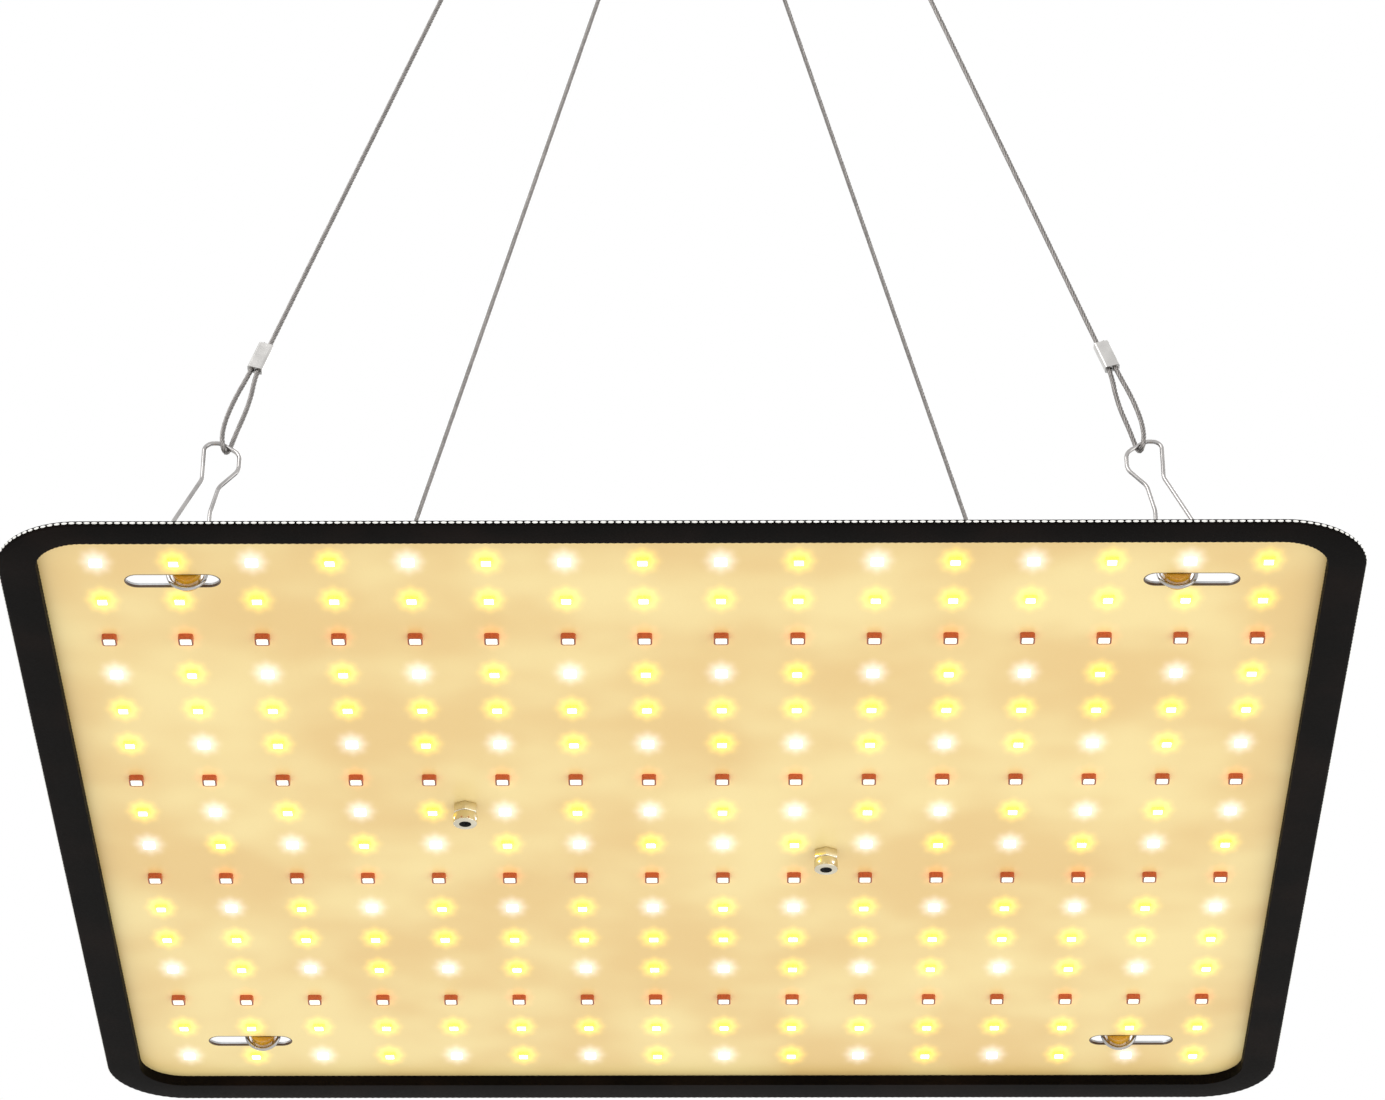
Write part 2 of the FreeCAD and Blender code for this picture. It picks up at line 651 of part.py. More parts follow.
def make_carabiners():
    """Two spring-gate carabiners, each with a fixed body, a gate and the gate's pin."""
    low_rod, _ = link_heights()
    radius, side = size("link_rod") / 2, size("link_wide") / 2
    low, high = side, size("link_long") - side
    eye = radius - 0.15
    hinge_z, nose_z = low + eye, high - 3.0
    corners = [Vector(0, side, low), Vector(0, side, high), Vector(0, -side, high), Vector(0, -side, low)]
    loop = Part.Wire(
        [
            Part.LineSegment(corners[0], corners[1]).toShape(),
            Part.Arc(corners[1], Vector(0, 0, high + side), corners[2]).toShape(),
            Part.LineSegment(corners[2], corners[3]).toShape(),
            Part.Arc(corners[3], Vector(0, 0, low - side), corners[0]).toShape(),
        ]
    )
    ring = Part.Wire(Part.Circle(corners[0], Vector(0, 0, 1), radius).toShape())
    body = loop.makePipeShell([ring], True, False)
    reach = 2 * radius
    around = (-reach, reach)
    body = body.cut(link_block(around, (side - reach, side + reach), (low - 0.4, nose_z)))
    body = body.cut(link_block(around, (side - reach, side + 0.1), (nose_z - 1.0, high)))
    half = size("tongue_thick") / 2
    tongue = link_block((-half, half), (side - eye, side + eye), (low - 1.5, hinge_z))
    turn_x = Vector(1, 0, 0)
    tongue = tongue.fuse(Part.makeCylinder(eye, 2 * half, Vector(-half, side, hinge_z), turn_x))
    body = body.fuse(tongue)
    pin_r, gap = size("gate_pin") / 2, size("fit_gap")
    body = body.cut(Part.makeCylinder(pin_r, 2 * reach, Vector(-reach, side, hinge_z), turn_x))
    body = body.removeSplitter()
    up = Vector(0, 0, 1)
    gate = Part.makeCylinder(radius, high - 0.2 - hinge_z, Vector(0, side, hinge_z), up)
    knuckle = Part.makeCylinder(radius, reach, Vector(0, side, hinge_z - reach), up)
    knuckle = knuckle.common(Part.makeCylinder(radius, 2 * reach, Vector(-reach, side, hinge_z), turn_x))
    gate = gate.fuse(knuckle)
    fork = (-half - gap, half + gap)
    slot = (hinge_z - reach, hinge_z + eye + 0.2)
    gate = gate.cut(link_block(fork, (side - reach, side + reach), slot))
    gate = gate.cut(link_block(around, (side - 0.1, side + reach), (nose_z - 0.3, high)))
    bore = Part.makeCylinder(pin_r + gap, 2 * reach, Vector(-reach, side, hinge_z), turn_x)
    gate = gate.cut(bore).removeSplitter()
    pin = Part.makeCylinder(pin_r, 2 * radius - 0.1, Vector(0.05 - radius, side, hinge_z), turn_x)
    for label, shape in (("carabiner", body), ("gate", gate), ("gate_pin", pin)):
        shape.translate(Vector(0, 0, low_rod))
        shaped(f"{label}_front", mirrored(shape, SQUARE), rope_plane(True))
        shaped(f"{label}_rear", shape.copy(), rope_plane(False))


# ---------------------------------------------------------------------------------------------
# Driver on the board's back
# ---------------------------------------------------------------------------------------------
FLOOR_TOP = f"{FLOOR_Z} + {cell('floor_thick')}"


def make_base():
    """The driver's folded base: floor, two side walls, and an ear at each end."""
    half_x, half_y = f"{cell('case_length')} / 2", f"{cell('case_width')} / 2"
    wall = cell("case_wall")
    level = (FLOOR_Z, FLOOR_TOP)
    pieces = [block("base_floor", about(CASE_X, half_x), about(CASE_Y, half_y), level)]
    wall_z = (FLOOR_Z, f"{FLOOR_Z} + 12")
    low_y = (f"{CASE_Y} - {half_y}", f"{CASE_Y} - {half_y} + {wall}")
    high_y = (f"{CASE_Y} + {half_y} - {wall}", f"{CASE_Y} + {half_y}")
    pieces.append(block("base_wall_front", about(CASE_X, half_x), low_y, wall_z))
    pieces.append(block("base_wall_rear", about(CASE_X, half_x), high_y, wall_z))
    holes = []
    for side in FIXING_SIDES:
        x, y = fixing(side)
        outer = f"{x} - {cell('ear_end')}" if side == "left" else f"{x} + {cell('ear_end')}"
        reach = (outer, CASE_X) if side == "left" else (CASE_X, outer)
        pieces.append(block(f"base_ear_{side}", reach, about(y, f"{cell('ear_wide')} / 2"), level))
        hole_z = f"{FLOOR_Z} - 1"
        holes.append(rod(f"ear_hole_{side}", "z", f"{cell('screw_hole')} / 2", 5, x, y, hole_z))
    for number, (x, y) in enumerate(cover_fixings()):
        start = f"{y} - 4"
        holes.append(rod(f"base_screw_hole_{number}", "y", 1.0, 8, x, start, COVER_SCREW_Z))
    keep(without("driver_base_cut", joined("base_sheet", pieces), holes), "driver_base")


COVER_SCREW_Z = f"{FLOOR_Z} + 7"


def cover_fixings():
    """Return the places of the cover's four screws on the base's side walls."""
    y_out = f"{cell('case_width')} / 2 - {cell('case_wall')} / 2"
    return [
        (f"{CASE_X} + {sx} * 0.36 * {cell('case_length')}", f"{CASE_Y} + {sy} * ({y_out})")
        for sy in (-1, 1)
        for sx in (-1, 1)
    ]


def make_cover():
    """The driver's folded cover, with the holes for the gland, the grommet and four screws."""
    gap, wall = cell("cover_gap"), cell("case_wall")
    half_x, half_y = f"({cell('case_length')} / 2 + {gap})", f"({cell('case_width')} / 2 + {gap})"
    low, high = f"{FLOOR_TOP} + {gap}", f"{FLOOR_Z} + {cell('case_height')}"
    outer_half = f"{half_x} + {wall}", f"{half_y} + {wall}"
    outer = block("cover_outer", about(CASE_X, outer_half[0]), about(CASE_Y, outer_half[1]), (low, high))
    inner_z = (f"{low} - 5", f"{high} - {wall}")
    cuts = [block("cover_inner", about(CASE_X, half_x), about(CASE_Y, half_y), inner_z)]
    inlet_z = f"{cell('inlet_up')} - {cell('drop')}"
    inlet_r = f"{cell('inlet_bore')} / 2 + 1.6"
    cuts.append(rod("cover_inlet", "x", inlet_r, 8, f"{CASE_X} - {half_x} - 4", CASE_Y, inlet_z))
    outlet_z = f"{cell('lead_up')} - {cell('drop')}"
    outlet_r = f"{cell('lead_pitch')} / 2 + {cell('lead_size')} / 2 + 1.2"
    cuts.append(rod("cover_outlet", "x", outlet_r, 8, f"{CASE_X} + {half_x} - 4", CASE_Y, outlet_z))
    for number, (x, y) in enumerate(cover_fixings()):
        cuts.append(rod(f"cover_screw_hole_{number}", "y", 1.05, 8, x, f"{y} - 4", COVER_SCREW_Z))
    keep(without("driver_cover_cut", outer, cuts), "driver_cover")


def make_glands():
    """The supply gland on the left end and the lead grommet on the right end."""
    gap, wall = cell("cover_gap"), cell("case_wall")
    half_x = f"({cell('case_length')} / 2 + {gap})"
    inlet_z = f"{cell('inlet_up')} - {cell('drop')}"
    outlet_z = f"{cell('lead_up')} - {cell('drop')}"
    sleeve_r = f"{cell('inlet_bore')} / 2 + 1.55"
    face = f"{CASE_X} - {half_x} - {wall}"
    pieces = [
        rod("gland_sleeve", "x", sleeve_r, f"{wall} + 3", face, CASE_Y, inlet_z),
        rod("gland_collar", "x", f"{sleeve_r} + 1.6", 3, f"{face} - 3", CASE_Y, inlet_z),
        rod("gland_nose", "x", f"{sleeve_r} + 0.4", 5, f"{face} - 8", CASE_Y, inlet_z),
    ]
    bore = rod("gland_bore", "x", f"{cell('inlet_bore')} / 2", 20, f"{face} - 12", CASE_Y, inlet_z)
    keep(without("gland_cut", joined("gland_body", pieces), [bore]), "input_gland")
    sleeve_r = f"{cell('lead_pitch')} / 2 + {cell('lead_size')} / 2 + 1.15"
    face = f"{CASE_X} + {half_x} + {wall}"
    pieces = [
        rod("grommet_sleeve", "x", sleeve_r, f"{wall} + 1", f"{face} - {wall} - 1", CASE_Y, outlet_z),
        rod("grommet_collar", "x", f"{sleeve_r} + 1.2", 1.6, face, CASE_Y, outlet_z),
        rod("grommet_inner", "x", f"{sleeve_r} + 0.8", 1.2, f"{face} - {wall} - 1.2", CASE_Y, outlet_z),
    ]
    bores = []
    for sy in (-1, 1):
        y = f"{CASE_Y} + {sy} * {cell('lead_pitch')} / 2"
        radius = f"{cell('lead_size')} / 2 + 0.03"
        bores.append(rod(f"grommet_bore_{sy + 1}", "x", radius, 12, f"{face} - 6", y, outlet_z))
    keep(without("grommet_cut", joined("grommet_body", pieces), bores), "output_grommet")


def case_middle():
    """Return the driver case's middle, as numbers."""
    return size("case_x"), size("case_y")


def make_leads():
    """The two output leads, from the driver's circuit to the board's socket."""
    x, y = case_middle()
    end = x + size("case_length") / 2
    high, low = size("lead_up") - size("drop"), size("socket_up") - size("drop")
    mouth = size("socket_x")
    for sy, label in ((-1, "lead_negative"), (1, "lead_positive")):
        side = y + sy * size("lead_pitch") / 2
        route = [
            Vector(end - 9, side, high),
            Vector(end + 8, side, high),
            Vector(mouth - 9, side, low),
            Vector(mouth + 4, side, low),
        ]
        radii = widest_radii(route)
        shape = tube(smooth_path(route, radii), size("lead_size"))
        length = shape.Volume / (math.pi * size("lead_size") ** 2 / 4)
        print(label, "length", round(length, 1), "radii", [round(r, 1) for r in radii])
        shaped(label, shape)


def make_socket():
    """The board's socket for the output leads."""
    mouth, up = cell("socket_x"), f"{cell('socket_up')} - {cell('drop')}"
    wide = f"{cell('lead_pitch')} / 2 + {cell('lead_size')} / 2 + 1.3"
    shell = block(
        "socket_shell", (mouth, f"{mouth} + 11"), about(CASE_Y, wide), (BOARD_TOP, f"{up} + 2.4")
    )
    bores = []
    for sy in (-1, 1):
        y = f"{CASE_Y} + {sy} * {cell('lead_pitch')} / 2"
        radius = f"{cell('lead_size')} / 2 + 0.03"
        bores.append(rod(f"socket_bore_{sy + 1}", "x", radius, 6, f"{mouth} - 1", y, up))
    keep(without("socket_cut", shell, bores), "board_connector")


def make_fixings():
    """Thermal pad, washers, fixing screws with lock nuts, and the cover's screws."""
    half_x, half_y = f"0.42 * {cell('case_length')}", f"0.4 * {cell('case_width')}"
    pad_z = (BOARD_TOP, FLOOR_Z)
    keep(block("pad_sheet", about(CASE_X, half_x), about(CASE_Y, half_y), pad_z), "thermal_pad")
    washers, screws, nuts = [], [], []
    hole = f"{cell('screw_hole')} / 2"
    shank = f"{cell('screw_size')} / 2"
    under = f"-{cell('drop')}"
    for side in FIXING_SIDES:
        x, y = fixing(side)
        disc = rod(f"washer_disc_{side}", "z", 3.5, cell("pad_thick"), x, y, BOARD_TOP)
        bore = rod(f"washer_bore_{side}", "z", hole, 3, x, y, f"{BOARD_TOP} - 1")
        washers.append(without(f"washer_{side}", disc, [bore]))
        low = f"{under} - {cell('screw_out')}"
        stem = rod(f"screw_stem_{side}", "z", shank, f"{FLOOR_TOP} - ({low}) + 0.5", x, y, low)
        head_r = f"{cell('screw_head')} / 2"
        head = rod(f"screw_head_{side}", "z", head_r, cell("head_tall"), x, y, FLOOR_TOP)
        recess_z = f"{FLOOR_TOP} + {cell('head_tall')} - 1.2"
        recess = rod(f"screw_recess_{side}", "z", 1.1, 2, x, y, recess_z)
        screws.append(without(f"screw_{side}", joined(f"screw_blank_{side}", [stem, head]), [recess]))
        prism = doc.addObject("Part::Prism", f"nut_prism_{side}")
        prism.Polygon = 6
        prism.setExpression("Circumradius", f"{cell('nut_flats')} / sqrt(3)")
        prism.setExpression("Height", cell("nut_hex"))
        place_by(prism, x, y, f"{under} - {cell('nut_hex')}")
        collar_r = f"{cell('nut_flats')} / 2 + 0.2"
        collar_z = f"{under} - {cell('nut_tall')}"
        collar_tall = f"{cell('nut_tall')} - {cell('nut_hex')} + 0.1"
        collar = rod(f"nut_collar_{side}", "z", collar_r, collar_tall, x, y, collar_z)
        bore = rod(f"nut_bore_{side}", "z", f"{shank} + 0.03", 8, x, y, f"{collar_z} - 1")
        nuts.append(without(f"nut_{side}", joined(f"nut_blank_{side}", [prism, collar]), [bore]))
    keep(group("washer_pair", washers), "driver_spacers")
    keep(group("screw_pair", screws), "driver_screws")
    keep(group("nut_pair", nuts), "lock_nuts")
    small = []
    outside = f"{cell('case_width')} / 2 + {cell('cover_gap')} + {cell('case_wall')}"
    for number, (x, _) in enumerate(cover_fixings()):
        sy = -1 if number < 2 else 1
        face = f"{CASE_Y} + {sy} * ({outside})"
        stem_y, head_y = (face, f"{face} - 1.2") if sy < 0 else (f"{face} - 3.5", face)
        stem = rod(f"cover_stem_{number}", "y", 0.97, 3.5, x, stem_y, COVER_SCREW_Z)
        head = rod(f"cover_head_{number}", "y", 2.0, 1.2, x, head_y, COVER_SCREW_Z)
        small.append(joined(f"cover_screw_{number}", [stem, head]))
    keep(group("cover_screw_set", small), "cover_screws")


def make_circuit():
    """The driver's circuit board on its standoffs, with its larger components."""
    half_x, half_y = f"({cell('case_length')} - 6) / 2", f"({cell('case_width')} - 6) / 2"
    sheet_z = (CIRCUIT_Z, PARTS_Z)
    board = block("circuit_sheet", about(CASE_X, half_x), about(CASE_Y, half_y), sheet_z)
    keep(board, "driver_circuit_board")
    posts = []
    for number, (sx, sy) in enumerate(((-1, -1), (1, -1), (1, 1), (-1, 1))):
        x, y = f"{CASE_X} + {sx} * ({half_x} - 4)", f"{CASE_Y} + {sy} * ({half_y} - 4)"
        posts.append(rod(f"standoff_{number}", "z", 2.2, cell("circuit_lift"), x, y, FLOOR_TOP))
    keep(group("standoff_set", posts), "board_standoffs")
    x, y = f"{CASE_X} + 2", f"{CASE_Y} + 2"
    core = block("core_outer", about(x, 5), about(y, 12), (PARTS_Z, f"{PARTS_Z} + 17"))
    window_z = (f"{PARTS_Z} + 3", f"{PARTS_Z} + 14")
    windows = []
    for sy in (-1, 1):
        side = f"{y} + {sy} * 6"
        windows.append(block(f"core_window_{sy + 1}", about(x, 8), about(side, 3), window_z))
    keep(without("core_cut", core, windows), "transformer_core")
    coil_z = (f"{PARTS_Z} + 3.1", f"{PARTS_Z} + 13.9")
    coil = block("coil_outer", about(x, 8), about(y, 8.8), coil_z)
    leg_z = (f"{PARTS_Z} + 2", f"{PARTS_Z} + 15")
    leg = block("coil_leg", about(x, 5.1), about(y, 3.1), leg_z)
    keep(without("coil_cut", coil, [leg]), "transformer_winding")
    bulk_x, bulk_y = f"{CASE_X} - 17", f"{CASE_Y} + 6"
    keep(rod("bulk_can", "z", 6.2, 18, bulk_x, bulk_y, PARTS_Z), "bulk_capacitor")
    cans = []
    for number, sy in enumerate((-1, 1)):
        can_y = f"{CASE_Y} + {sy} * 6 + 5"
        cans.append(rod(f"output_can_{number}", "z", 4.0, 13, f"{CASE_X} + 19", can_y, PARTS_Z))
    keep(group("output_can_pair", cans), "output_capacitors")
    choke_x, choke_y = f"{CASE_X} - 19", f"{CASE_Y} - 11"
    ring = rod("choke_ring", "z", 6.0, 7, choke_x, choke_y, PARTS_Z)
    hole = rod("choke_hole", "z", 2.4, 9, choke_x, choke_y, f"{PARTS_Z} - 1")
    keep(without("choke_cut", ring, [hole]), "choke")
    tabs = []
    for number, dx in enumerate((0, 14)):
        x_low = f"{CASE_X} + {dx}"
        y_low = f"{CASE_Y} - {half_y} + 0.4"
        body = block(
            f"transistor_body_{number}",
            (x_low, f"{x_low} + 10"),
            (y_low, f"{y_low} + 4.5"),
            (PARTS_Z, f"{PARTS_Z} + 11"),
        )
        tab = block(
            f"transistor_tab_{number}",
            (x_low, f"{x_low} + 10"),
            (y_low, f"{y_low} + 1.3"),
            (f"{PARTS_Z} + 10", f"{PARTS_Z} + 16"),
        )
        tabs.append(joined(f"transistor_{number}", [body, tab]))
    keep(group("transistor_pair", tabs), "power_transistors")
    fuse_z = f"{PARTS_Z} + 2.6"
    keep(rod("fuse_tube", "y", 2.6, 11, f"{CASE_X} - 30", f"{CASE_Y} - 5.5", fuse_z), "fuse")


def check():
    """Stop if any object is broken, then report each sub-part's solids and box."""
    doc.recompute()
    for item in doc.Objects:
        if {"Invalid", "Error"} & set(item.State):
            raise RuntimeError(f"{item.Name} did not compute: {item.State}")
    for item in sub_parts:
        if item.Shape.isNull() or not item.Shape.isValid() or not item.Shape.Solids:
            raise RuntimeError(f"{item.Label} has no sound shape")
        box = item.Shape.BoundBox
        low = [round(v, 1) for v in (box.XMin, box.YMin, box.ZMin)]
        high = [round(v, 1) for v in (box.XMax, box.YMax, box.ZMax)]
        print(item.Label, len(item.Shape.Solids), round(item.Shape.Volume, 1), low, high)


def main():
    """Build every sub-part, check it and write it out."""
    make_board()
    make_guard()
    make_lights()
    make_saddles()
    make_hooks()
    make_ropes()
    make_ferrules()
    make_carabiners()
    make_base()
    make_cover()
    make_glands()
    make_leads()
    make_socket()
    make_fixings()
    make_circuit()
    check()
    os.makedirs("parts", exist_ok=True)
    for item in sub_parts:
        item.Shape.exportStep(f"parts/{item.Label}.step")


main()
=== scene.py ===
"""Looks of an LED grow light: a square board of lights in a ribbed guard, hung by hooks and wire rope.

Everything is in metres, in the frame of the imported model: +Z up, the lights face down, +X to the
right, +Y towards the rear edge, and the origin midway between the two carabiners' crowns.
"""

import logging
import math
from dataclasses import dataclass
from enum import Enum

import bmesh
import bpy
from mathutils import Matrix, Vector

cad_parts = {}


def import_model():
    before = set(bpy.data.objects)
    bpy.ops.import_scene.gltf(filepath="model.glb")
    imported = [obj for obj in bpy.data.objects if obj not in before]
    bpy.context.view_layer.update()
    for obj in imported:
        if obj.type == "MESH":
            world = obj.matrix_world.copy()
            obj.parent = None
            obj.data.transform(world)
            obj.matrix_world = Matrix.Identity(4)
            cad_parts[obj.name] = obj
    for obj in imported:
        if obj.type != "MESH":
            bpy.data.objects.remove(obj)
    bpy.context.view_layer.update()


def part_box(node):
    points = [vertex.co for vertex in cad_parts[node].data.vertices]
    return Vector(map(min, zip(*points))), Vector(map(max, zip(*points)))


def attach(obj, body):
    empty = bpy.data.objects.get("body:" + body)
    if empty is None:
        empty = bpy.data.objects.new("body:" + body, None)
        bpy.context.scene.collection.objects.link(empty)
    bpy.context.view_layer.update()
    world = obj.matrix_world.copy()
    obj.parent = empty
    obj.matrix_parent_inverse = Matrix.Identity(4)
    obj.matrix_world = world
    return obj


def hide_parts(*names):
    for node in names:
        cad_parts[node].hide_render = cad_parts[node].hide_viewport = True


log = logging.getLogger("grow_light")
MM = 0.001


class Body(str, Enum):
    """The rigid bodies that pieces ride on."""

    HANGERS = "hangers"
    LIGHT = "light"
    GATE_FRONT = "gate_front"
    GATE_REAR = "gate_rear"


class Side(Enum):
    """The two bridles, by which way they lie from the middle."""

    FRONT = -1
    REAR = 1


# ---------------------------------------------------------------------------------------------
# Colour and nodes
# ---------------------------------------------------------------------------------------------
def linear(colour: str) -> tuple[float, float, float, float]:
    """Turn an sRGB hex colour into linear values.

    Args:
        colour: six hex digits, with or without a leading hash.

    Returns:
        Red, green, blue and an alpha of 1.
    """
    digits = colour.lstrip("#")
    parts = [int(digits[i : i + 2], 16) / 255 for i in (0, 2, 4)]
    values = [c / 12.92 if c <= 0.04045 else ((c + 0.055) / 1.055) ** 2.4 for c in parts]
    return (values[0], values[1], values[2], 1.0)


@dataclass
class Tree:
    """A material and its node tree, with one way to add a node."""

    material: bpy.types.Material

    @classmethod
    def new(cls, name: str) -> "Tree":
        """Start an empty node material.

        Args:
            name: the material's name.

        Returns:
            The tree that the nodes are added to.
        """
        material = bpy.data.materials.new(name)
        material.use_nodes = True
        material.node_tree.nodes.clear()
        return cls(material)

    def add(self, kind: str, inputs: dict | None = None, **settings: object) -> bpy.types.Node:
        """Add one node.

        Args:
            kind: the node's type, without the "ShaderNode" in front.
            inputs: socket name or number to a value or to another node's output socket.
            settings: the node's own properties.

        Returns:
            The new node.
        """
        node = self.material.node_tree.nodes.new("ShaderNode" + kind)
        for key, value in settings.items():
            setattr(node, key, value)
        for key, value in (inputs or {}).items():
            if isinstance(value, bpy.types.NodeSocket):
                self.material.node_tree.links.new(value, node.inputs[key])
            else:
                node.inputs[key].default_value = value
        return node

    def math(
        self, operation: str, a: object, b: object = 0.0, c: object = 0.0
    ) -> bpy.types.NodeSocket:
        """Add a Math node and return its value."""
        return self.add("Math", {0: a, 1: b, 2: c}, operation=operation).outputs[0]

    def mix(self, share: object, a: object, b: object) -> bpy.types.NodeSocket:
        """Mix two colours and return the result."""
        node = self.add("Mix", {0: share, 6: a, 7: b}, data_type="RGBA")
        return node.outputs[2]

    def ramp(self, value: object, low: float, high: float) -> bpy.types.NodeSocket:
        """Map a value from low..high to 0..1, held at both ends."""
        node = self.add("MapRange", {0: value, 1: low, 2: high}, interpolation_type="SMOOTHSTEP")
        return node.outputs[0]

    def place(self) -> bpy.types.NodeSocket:
        """Return the object's own coordinates, in metres."""
        return self.add("TexCoord").outputs["Object"]

    def noise(
        self, grain_mm: float, detail: float = 2.0, stretch: Vector | None = None
    ) -> bpy.types.NodeSocket:
        """Add noise whose grain has a real size.

        Args:
            grain_mm: the size of a grain.
            detail: the number of finer layers.
            stretch: how much longer the grain is along each axis.

        Returns:
            The noise's value.
        """
        where = self.place()
        if stretch is not None:
            scale = tuple(1 / s for s in stretch)
            where = self.add("Mapping", {"Vector": where, "Scale": scale}).outputs[0]
        inputs = {"Vector": where, "Scale": 1 / (grain_mm * MM), "Detail": detail}
        return self.add("TexNoise", inputs).outputs[0]

    def bump(self, height: object, depth_mm: float, after: object | None = None) -> bpy.types.NodeSocket:
        """Add a bump of a real depth.

        Args:
            height: a value from 0 to 1.
            depth_mm: how deep the pattern is.
            after: an earlier bump's normal, if there is one.

        Returns:
            The bumped normal.
        """
        inputs = {"Height": height, "Distance": depth_mm * MM, "Strength": 1.0}
        if after is not None:
            inputs["Normal"] = after
        return self.add("Bump", inputs).outputs[0]

    def finish(self, shader: bpy.types.Node) -> bpy.types.Material:
        """Join the shader to the output and return the material."""
        self.add("OutputMaterial", {"Surface": shader.outputs[0]})
        return self.material


# ---------------------------------------------------------------------------------------------
# Finishes
# ---------------------------------------------------------------------------------------------
@dataclass(frozen=True)
class Metal:
    """A bare or plated metal: its colour, how even its gloss is, and the marks of its making."""

    name: str
    colour: str
    roughness: float
    grain_mm: float
    depth_mm: float
    stretch: tuple[float, float, float] = (1.0, 1.0, 1.0)

    def material(self) -> bpy.types.Material:
        """Build the material: marks in the gloss and in the surface, tarnish in the colour."""
        tree = Tree.new(self.name)
        marks = tree.noise(self.grain_mm, 3.0, Vector(self.stretch))
        clouds = tree.noise(self.grain_mm * 12)
        dull = tuple(c * 0.82 for c in linear(self.colour)[:3]) + (1.0,)
        gloss = tree.math("MULTIPLY_ADD", marks, self.roughness * 0.6, self.roughness * 0.7)
        shader = tree.add(
            "BsdfPrincipled",
            {
                "Base Color": tree.mix(tree.ramp(clouds, 0.35, 0.7), linear(self.colour), dull),
                "Metallic": 1.0,
                "Roughness": gloss,
                "Normal": tree.bump(marks, self.depth_mm),
            },
        )
        return tree.finish(shader)


@dataclass(frozen=True)
class Moulding:
    """A moulded, coated or fired surface: base and second colour, gloss, and grain."""

    name: str
    colour: str
    second: str
    roughness: float
    grain_mm: float
    depth_mm: float
    ior: float = 1.5
    coat: float = 0.0
    clear: float = 0.0

    def material(self) -> bpy.types.Material:
        """Build the material: a fine grain, and slow changes of colour and gloss."""
        tree = Tree.new(self.name)
        grain = tree.noise(self.grain_mm, 3.0)
        clouds = tree.noise(self.grain_mm * 15)
        share = tree.ramp(clouds, 0.3, 0.75)
        gloss = tree.math("MULTIPLY_ADD", clouds, self.roughness * 0.3, self.roughness * 0.85)
        shader = tree.add(
            "BsdfPrincipled",
            {
                "Base Color": tree.mix(share, linear(self.colour), linear(self.second)),
                "Roughness": gloss,
                "IOR": self.ior,
                "Coat Weight": self.coat,
                "Coat Roughness": 0.08,
                "Transmission Weight": self.clear,
                "Normal": tree.bump(grain, self.depth_mm),
            },
        )
        return tree.finish(shader)


@dataclass(frozen=True)
class LightGrid:
    """The field of lights: its pitch and what each row carries, from the front row to the rear."""

    pitch: float = 17.75 * MM
    count: int = 16
    red_rows: tuple[int, ...] = (2, 6, 9, 13)
    warm_rows: tuple[int, ...] = (1, 4, 11, 14)
    cool_on_odd_rows: tuple[int, ...] = (5, 7, 10)

    def kind(self, row: int, column: int) -> str:
        """Tell which light sits at a row and column."""
        if row in self.red_rows:
            return "deep_red"
        if row in self.warm_rows:
            return "warm_white"
        cool_is_odd = row in self.cool_on_odd_rows
        return "cool_white" if (column % 2 == 1) == cool_is_odd else "warm_white"

    def places(self, kind: str) -> list[tuple[float, float]]:
        """Return the x and y of every light of one kind."""
        middle = (self.count - 1) / 2
        cells = [(r, c) for r in range(self.count) for c in range(self.count) if self.kind(r, c) == kind]
        return [((c - middle) * self.pitch, (r - middle) * self.pitch) for r, c in cells]


